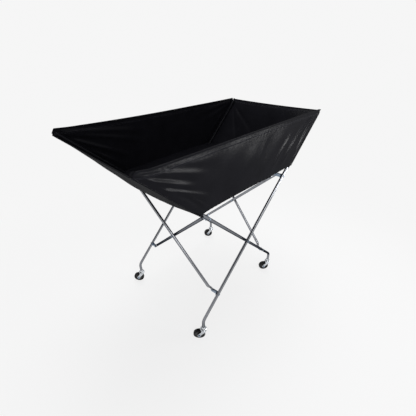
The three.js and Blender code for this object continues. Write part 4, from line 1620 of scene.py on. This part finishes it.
@dataclass
class EndPanel:
    """An end of the basket, which bulges outwards and wraps round the sleeves at both its edges."""

    end: int
    columns: int = 181
    rows: int = 101
    wrap_radius: float = 9.2 * MM
    wrap: float = math.radians(86)
    drop: float = 240 * MM
    rim_lift: float = 7.7 * MM
    straight_sag: float = 3 * MM
    pucker: float = 0.5 * MM
    slant: float = 1.42
    folds: tuple[Fold, ...] = ()

    def bulge(self, v: Array) -> Array:
        """Works out how far the middle stands out: a quick rise to the peak and a cosine fall to the rim.

        Args:
            v: Share of the way up.

        Returns:
            The distance.
        """
        rise = np.clip(v / SIZES.bulge_peak, 0, 1)
        fall = np.clip((v - SIZES.bulge_peak) / (1 - SIZES.bulge_peak), 0, 1)
        falling = (1 + np.cos(np.pi * fall)) / 2
        return SIZES.end_bulge * np.where(v < SIZES.bulge_peak, arch(rise / 2), falling)

    def section(self) -> tuple[Array, Array, Array]:
        """Works out the panel's section across the cart: straight between the legs, an arc round each.

        Returns:
            Place across the cart, distance out from the legs' plane, and share of the way across.
        """
        near, far = (LEGS[i].depth for i in ((1, 3) if self.end < 0 else (0, 2)))
        turn = np.linspace(self.wrap, 0, 10)
        y = np.concatenate([-near - self.wrap_radius * np.sin(turn),
                            np.linspace(-near, far, self.columns - 18)[1:-1],
                            far + self.wrap_radius * np.sin(turn[::-1])])
        out = self.wrap_radius * np.concatenate([np.cos(turn), np.ones(self.columns - 20),
                                                 np.cos(turn[::-1])])
        return y, out, np.clip((y + near) / (near + far), 0, 1)

    def surface(self) -> Surface:
        """Works out the panel: up the lean of the legs, out by the section, the bulge and the folds.

        The left rim sags in its middle, and the right one is drawn nearly straight.

        Returns:
            The panel as a closed shell.
        """
        y, out, u = (a[None, :] for a in self.section())
        v = panel_rows(self.rows)
        low = SIZES.floor_height - SIZES.end_drop
        sag, rise = (SIZES.end_rim_sag, 0.0) if self.end < 0 else (self.straight_sag, SIZES.right_rim_rise)
        top = SIZES.end_mouth_height + rise - sag * arch(u) + self.rim_lift
        height = mix(low, top, v)
        waves = (1.5 * MM * wave(y / 0.21 + 0.7 * v)
                 + 1.0 * MM * wave(y / 0.11 - 1.1 * v + 0.3)) * arch(u) * np.sin(np.pi * v)
        folds = sum(fold.offset(y, height) for fold in self.folds)
        pucker = self.pucker * np.sin(2 * np.pi * y / SIZES.pucker_spacing + 3.1 * np.sin(y / 0.037))
        seam = pucker * arch(u) * (bell(v * self.drop, 16 * MM)
                                   + 0.4 * bell((1 - v) * self.drop - SIZES.hem, SIZES.pucker_width))
        stand = out + self.bulge(v) * arch(u) ** 0.8 + (waves + folds) * arch(u) ** 0.3 + seam
        x = self.end * (LINKAGE.reach(height) + stand * LINKAGE.cosine)
        z = height - stand * LINKAGE.sine
        middle = np.stack([x, np.broadcast_to(y + ROW_SHIFT, x.shape), z], axis=-1)
        edge = (1 - v) * (top - low) / LINKAGE.cosine
        cloth = np.stack(np.broadcast_arrays(y, height * self.slant), axis=-1)
        return thick_sheet(middle, hem_profile(edge), cloth, edge)

    def make(self, shop: Workshop) -> None:
        """Builds the panel, which rides on its near leg.

        Args:
            shop: Makes the pieces.
        """
        leg = LEGS[1] if self.end < 0 else LEGS[0]
        obj = shop.piece(f"basket_{END[self.end]}_end", self.surface(), Look.CLOTH, CLOTH_SHARP)
        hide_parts(f"basket_{END[self.end]}_panel")
        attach(obj, f"{leg.name}_leg")
        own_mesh(obj)


@dataclass
class BasketFloor:
    """Near or far half of the basket's floor, from the seam along its middle to the long panel."""

    side: int
    columns: int = 201
    rows: int = 81
    tuck: float = 8 * MM
    corner: float = 8.6 * MM
    flat_width: float = 280 * MM
    side_gap: float = 0.8 * MM
    corner_cover: float = 2.2 * MM
    gather: float = 2 * MM
    gather_reach: float = 90 * MM
    seam_half: float = 6 * MM
    seam_height: float = 1 * MM

    def reach_at(self, share: Array, belly: Array, leg: LegPlace) -> Array:
        """Works out how far from the middle the floor's end edge lies at one end.

        In the middle it lies at the end panel's lower edge. Towards the corner it climbs with the cloth, and
        stays against the end panel: the legs' lean times its height, plus the section's round corner.

        Args:
            share: Share of the half width.
            belly: How far the floor hangs there.
            leg: The leg at that corner.

        Returns:
            The distance.
        """
        low = LINKAGE.reach(SIZES.floor_height - SIZES.end_drop) + self.tuck
        beyond = (share * (leg.depth + self.tuck) - leg.depth) / self.corner
        round_off = self.corner / LINKAGE.cosine * np.sqrt(1 - np.clip(beyond, 0, 0.9) ** 2)
        against = LINKAGE.reach(SIZES.floor_height - belly) + round_off
        return mix(low, against, smooth((share - 0.4) / 0.3))

    def surface(self) -> Surface:
        """Works out the half floor: z falls by 1 - s^4 across the cart, s being the share of the half width.

        Slack waves lie over it, puckers run from its corners, and the felled seam stands up in the middle.

        Returns:
            The half floor as a closed shell.
        """
        share = np.linspace(0, 1, self.rows)[:, None]
        along = np.linspace(-1, 1, self.columns)[None, :]
        belly = SIZES.floor_drop * (1 - share**4)
        left, right = (self.reach_at(share, belly, LEGS[i]) for i in (1, 0))
        x = along * np.where(along < 0, left, right)
        half = depth_at(x) - self.side_gap + self.corner_cover * smooth((np.abs(along) - 0.8) / 0.15)
        y = self.side * share * half
        slack = (1.6 * MM * wave(y / 0.19 + x / 0.33)
                 + 1.2 * MM * wave(x / 0.12 - y / 0.4)) * (1 - share**4) * arch(0.5 + along / 2)
        to_end = np.where(along < 0, left, right) - np.abs(x)
        to_side = half - np.abs(y)
        radial = self.gather * np.sin(9 * np.arctan2(to_side, to_end + 5 * MM))
        gathered = radial * bell(np.hypot(to_end, to_side), self.gather_reach) * (1 - share**8)
        felled = self.seam_height * np.exp(-((y / self.seam_half) ** 4))
        z = SIZES.floor_height - belly + slack + gathered + felled
        middle = np.stack([x, y + ROW_SHIFT, z], axis=-1)
        cloth = np.stack([x, y], axis=-1)
        return thick_sheet(middle, SIZES.cloth, cloth, np.ones_like(z))

    def make(self, shop: Workshop) -> None:
        """Builds the half, between the two legs of its side.

        Args:
            shop: Makes the pieces.
        """
        side = SIDE[self.side]
        obj = shop.piece(f"basket_floor_{side}", self.surface(), Look.CLOTH, CLOTH_SHARP)
        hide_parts("basket_floor")
        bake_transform(obj)


@dataclass
class Sleeve:
    """The pocket of cloth on a leg's upper end, and the piped seam at that corner of the basket."""

    place: LegPlace
    radius: float = 8.4 * MM
    below: float = 14 * MM
    above: float = 3.3 * MM
    crease: float = 0.25 * MM
    crease_spacing: float = 31 * MM
    piping: float = 1.9 * MM
    piping_out: float = 7.6 * MM
    piping_sides: int = 12
    piping_stitch: float = 4 * MM
    around: int = 40

    def pocket(self) -> Surface:
        """Carries a slightly creased circle up the leg: r = R + c sin(creases along) sin(3 a), closed on top.

        Returns:
            The pocket.
        """
        start = LINKAGE.distance(SIZES.floor_height) - self.below
        end = LINKAGE.to_top + self.above
        s = np.concatenate([np.linspace(start, end, 90), end + np.array([0.8, 1.5, 1.9]) * MM])
        top = np.clip((s - end) / (1.9 * MM), 0, 1)
        radius = self.radius * np.sqrt(np.maximum(1 - top**2, 0.01))
        angle = angles(self.around)
        creased = self.crease * wave(s / self.crease_spacing) * (1 - top)
        crease = creased[:, None] * np.sin(3 * angle)[None]
        direction = self.place.direction
        other = np.cross(direction, Y_AXIS)
        ring = np.cos(angle)[None, :, None] * Y_AXIS + np.sin(angle)[None, :, None] * other
        centre = self.place.at(0) + s[:, None] * direction
        skin = closed_rings(centre[:, None] + (radius[:, None] + crease)[..., None] * ring)
        return self.sewn(skin, s, angle * self.radius)

    def seam(self) -> Surface:
        """Carries a thin round piping along the corner, where a long panel meets an end panel.

        Returns:
            The piping.
        """
        s = np.linspace(LINKAGE.distance(SIZES.floor_height) + 2 * MM, LINKAGE.to_top + 6 * MM, 120)
        outward = np.array([self.place.lean * LINKAGE.cosine, 0.0, -LINKAGE.sine])
        line = self.place.at(0) + s[:, None] * self.place.direction + outward * self.piping_out
        depth = depth_at(line[:, 0]) + 1.1 * MM
        line[:, 1] = self.place.side * depth + ROW_SHIFT
        radius = self.piping * (1 + 0.06 * wave(s / self.piping_stitch))
        radius[[0, -1]] *= 0.4
        skin = swept(line, radius, Y_AXIS, self.piping_sides)
        return self.sewn(skin, s, np.arange(self.piping_sides) * 1.0 * MM)

    @staticmethod
    def sewn(skin: Surface, along: Array, around: Array) -> Surface:
        """Gives a closed skin of rings its place on the flat cloth, away from any hem.

        Args:
            skin: The skin.
            along: Each ring's place along the cloth.
            around: Each point's place across it.

        Returns:
            The same skin.
        """
        flat = np.stack([np.repeat(along, len(around)), np.tile(around, len(along))], axis=-1)
        skin.cloth = np.concatenate([flat, flat[[0, -1]]])
        skin.edge = np.ones(len(skin.points))
        return skin

    def make(self, shop: Workshop) -> None:
        """Builds the pocket and the piping on the leg's body.

        Args:
            shop: Makes the pieces.
        """
        name = self.place.name
        shop.rigid(f"{name}_pocket", self.pocket(), Look.CLOTH, f"{name}_leg", f"{name}_sleeve",
                   sharp_degrees=CLOTH_SHARP)
        shop.rigid(f"{name}_corner_piping", self.seam(), Look.CLOTH, f"{name}_leg",
                   sharp_degrees=CLOTH_SHARP)


def basket_pieces() -> list[LongPanel | EndPanel | BasketFloor | Sleeve]:
    """Lists the basket's panels with the folds that run from their corners.

    Returns:
        The panels, the floor's halves and the sleeves.
    """
    near = (
        Fold((-560, 1012), (-275, 925), 6.6, 6, 19, 8),
        Fold((-545, 1018), (-200, 968), 3.4, 9, 26),
        Fold((-535, 998), (-330, 895), 5.0, 6, 14),
        Fold((-470, 940), (-240, 812), 5.4, 6, 16, 4),
        Fold((-385, 890), (-262, 772), 3.6, 5, 11),
        Fold((528, 1016), (195, 790), 6.4, 9, 21, -38),
        Fold((520, 1008), (330, 795), 6.0, 8, 16, -16),
        Fold((270, 965), (105, 795), 4.6, 12, 24, -6),
        Fold((60, 990), (-40, 800), 1.8, 14, 30),
    )
    far = (
        Fold((-545, 1020), (-120, 950), -5.6, 7, 19),
        Fold((-535, 1008), (-160, 900), -6.0, 7, 18, 6),
        Fold((-520, 990), (-230, 835), -5.2, 6, 16),
        Fold((-450, 925), (-280, 800), -4.0, 6, 12),
        Fold((540, 1018), (150, 960), -3.6, 7, 18),
        Fold((530, 1005), (210, 900), -3.6, 7, 18),
        Fold((470, 950), (290, 805), -3.2, 6, 12, -10),
    )
    end_folds = (
        Fold((-268, 1000), (40, 850), 3.4, 6, 17),
        Fold((-262, 985), (-90, 800), 3.0, 6, 14),
        Fold((268, 1000), (-40, 850), 3.4, 6, 17),
        Fold((262, 985), (90, 800), 3.0, 6, 14),
    )
    return [
        LongPanel(-1, folds=near),
        LongPanel(1, folds=far),
        EndPanel(-1, folds=end_folds),
        EndPanel(1, folds=end_folds),
        BasketFloor(-1),
        BasketFloor(1),
        *(Sleeve(leg) for leg in LEGS),
    ]


# Studio


# Name, place, width and height, and power in watts
LAMPS = (
    ("top_lamp", (1.3, 0.8, 4.7), (2.6, 2.6), 165),
    ("side_lamp", (-1.45, -4.0, 4.7), (2.6, 2.6), 95),
    ("low_lamp", (1.9, -2.6, 0.65), (1.5, 0.5), 66),
)


@dataclass
class Studio:
    """A plain pale floor, a backdrop and three soft lamps, with the camera at the photograph's angle."""

    floor_colour: str = "#F3F3F4"
    light_colour: str = "#FFFFFF"
    floor_size: float = 40.0
    backdrop: float = 0.92
    ceiling: float = 0.05
    ceiling_span: tuple[float, float] = (0.38, 0.60)
    near_glow: float = 0.86
    glow_span: tuple[float, float] = (0.4, 2.0)
    lamp_target: tuple[float, float, float] = (0.0, 0.0, 0.7)
    eye: tuple[float, float, float] = (-0.82148, -0.78322, 1.26228)
    right: tuple[float, float, float] = (0.68311, -0.73030, 0.00360)
    up: tuple[float, float, float] = (0.39168, 0.37052, 0.84220)
    forward: tuple[float, float, float] = (0.61639, 0.57391, -0.53916)
    lens_pixels: float = 236.355
    picture_pixels: float = 416.0

    def floor(self) -> None:
        """Lays the floor, a large square of dull translucent sheet, lit from below as evenly as the backdrop.

        The lamps add their share to it and the cart its shadow, and both fade into the backdrop far out.
        """
        half = self.floor_size / 2
        corners = [(-half, -half, 0.0), (half, -half, 0.0), (half, half, 0.0), (-half, half, 0.0)]
        mesh = bpy.data.meshes.new("studio_floor")
        mesh.from_pydata(corners, [], [(0, 1, 2, 3)])
        material, tree = new_material("painted_floor")
        shader = add_node(tree, "ShaderNodeBsdfPrincipled", inputs={
            "Base Color": linear_rgb(self.floor_colour), "Roughness": 0.9, "Specular IOR Level": 0.1})
        place = add_node(tree, "ShaderNodeTexCoord").outputs["Object"]
        distance = add_node(tree, "ShaderNodeVectorMath", {"operation": "LENGTH"}, links={0: place})
        near, beyond = self.glow_span
        share = add_node(tree, "ShaderNodeMapRange", {"interpolation_type": "SMOOTHSTEP"},
                         {1: near, 2: beyond, 3: self.near_glow, 4: 1.0}, {0: distance.outputs["Value"]})
        far = add_node(tree, "ShaderNodeEmission", inputs={
            "Color": linear_rgb(self.light_colour), "Strength": self.backdrop})
        both = add_node(tree, "ShaderNodeMixShader",
                        links={0: share.outputs[0], 1: shader.outputs[0], 2: far.outputs[0]})
        add_node(tree, "ShaderNodeOutputMaterial", links={"Surface": both.outputs[0]})
        mesh.materials.append(material)
        obj = bpy.data.objects.new("studio_floor", mesh)
        bpy.context.scene.collection.objects.link(obj)

    def surroundings(self) -> None:
        """Lights what is all round by height: a pale backdrop up from the horizon, and a dark ceiling.

        Every ray sees the same, so the chrome shows the backdrop, and the ceiling as dark bands.
        """
        world = bpy.data.worlds.new("studio_world")
        world.use_nodes = True
        tree = world.node_tree
        tree.nodes.clear()
        direction = add_node(tree, "ShaderNodeTexCoord").outputs["Generated"]
        height = add_node(tree, "ShaderNodeSeparateXYZ", links={0: direction}).outputs[2]
        low, high = self.ceiling_span
        level = add_node(tree, "ShaderNodeMapRange", {"interpolation_type": "SMOOTHSTEP"},
                         {1: low, 2: high, 3: self.backdrop, 4: self.ceiling}, {0: height})
        light = add_node(tree, "ShaderNodeBackground", inputs={"Color": linear_rgb(self.light_colour)},
                         links={"Strength": level.outputs[0]})
        add_node(tree, "ShaderNodeOutputWorld", links={"Surface": light.outputs[0]})
        bpy.context.scene.world = world

    def lamp(self, name: str, place: tuple[float, float, float], size: tuple[float, float],
             watts: float) -> None:
        """Hangs a soft lamp that looks at the basket.

        Args:
            name: The lamp's name.
            place: Where it hangs.
            size: Its width and height.
            watts: Its power.
        """
        data = bpy.data.lights.new(name, "AREA")
        data.shape, data.energy = "RECTANGLE", watts
        data.size, data.size_y = size
        obj = bpy.data.objects.new(name, data)
        obj.location = place
        obj.visible_camera = False
        aim = Vector(self.lamp_target) - Vector(place)
        obj.rotation_euler = aim.to_track_quat("-Z", "Y").to_euler()
        bpy.context.scene.collection.objects.link(obj)

    def camera(self) -> None:
        """Places the camera with the pose and focal length that were fitted to the photograph."""
        data = bpy.data.cameras.new("camera")
        data.sensor_fit, data.sensor_width = "HORIZONTAL", 36.0
        data.lens = self.lens_pixels / self.picture_pixels * data.sensor_width
        data.clip_start, data.clip_end = 0.05, 60.0
        obj = bpy.data.objects.new("camera", data)
        columns = [Vector(self.right), Vector(self.up), -Vector(self.forward)]
        turn = Matrix(columns).transposed().to_quaternion().to_matrix().to_4x4()
        obj.matrix_world = Matrix.Translation(self.eye) @ turn
        bpy.context.scene.collection.objects.link(obj)
        bpy.context.scene.camera = obj

    def make(self) -> None:
        """Sets up the floor, the backdrop, the lamps and the camera."""
        self.floor()
        self.surroundings()
        for name, place, size, watts in LAMPS:
            self.lamp(name, place, size, watts)
        self.camera()
        bpy.context.scene.view_settings.view_transform = "Standard"


def main() -> None:
    """Builds the cart's sub-assemblies in order, and then the studio round it."""
    shop = Workshop()
    for leg in LEGS:
        TubeLeg(leg).make(shop)
        Caster(leg).make(shop)
        Bracket(leg, "lower").make(shop)
        Bracket(leg, "upper").make(shop)
    for strut in STRUTS:
        Strut(strut).make(shop)
    for part in basket_pieces():
        part.make(shop)
    Studio().make()


if __name__ == "__main__":
    main()
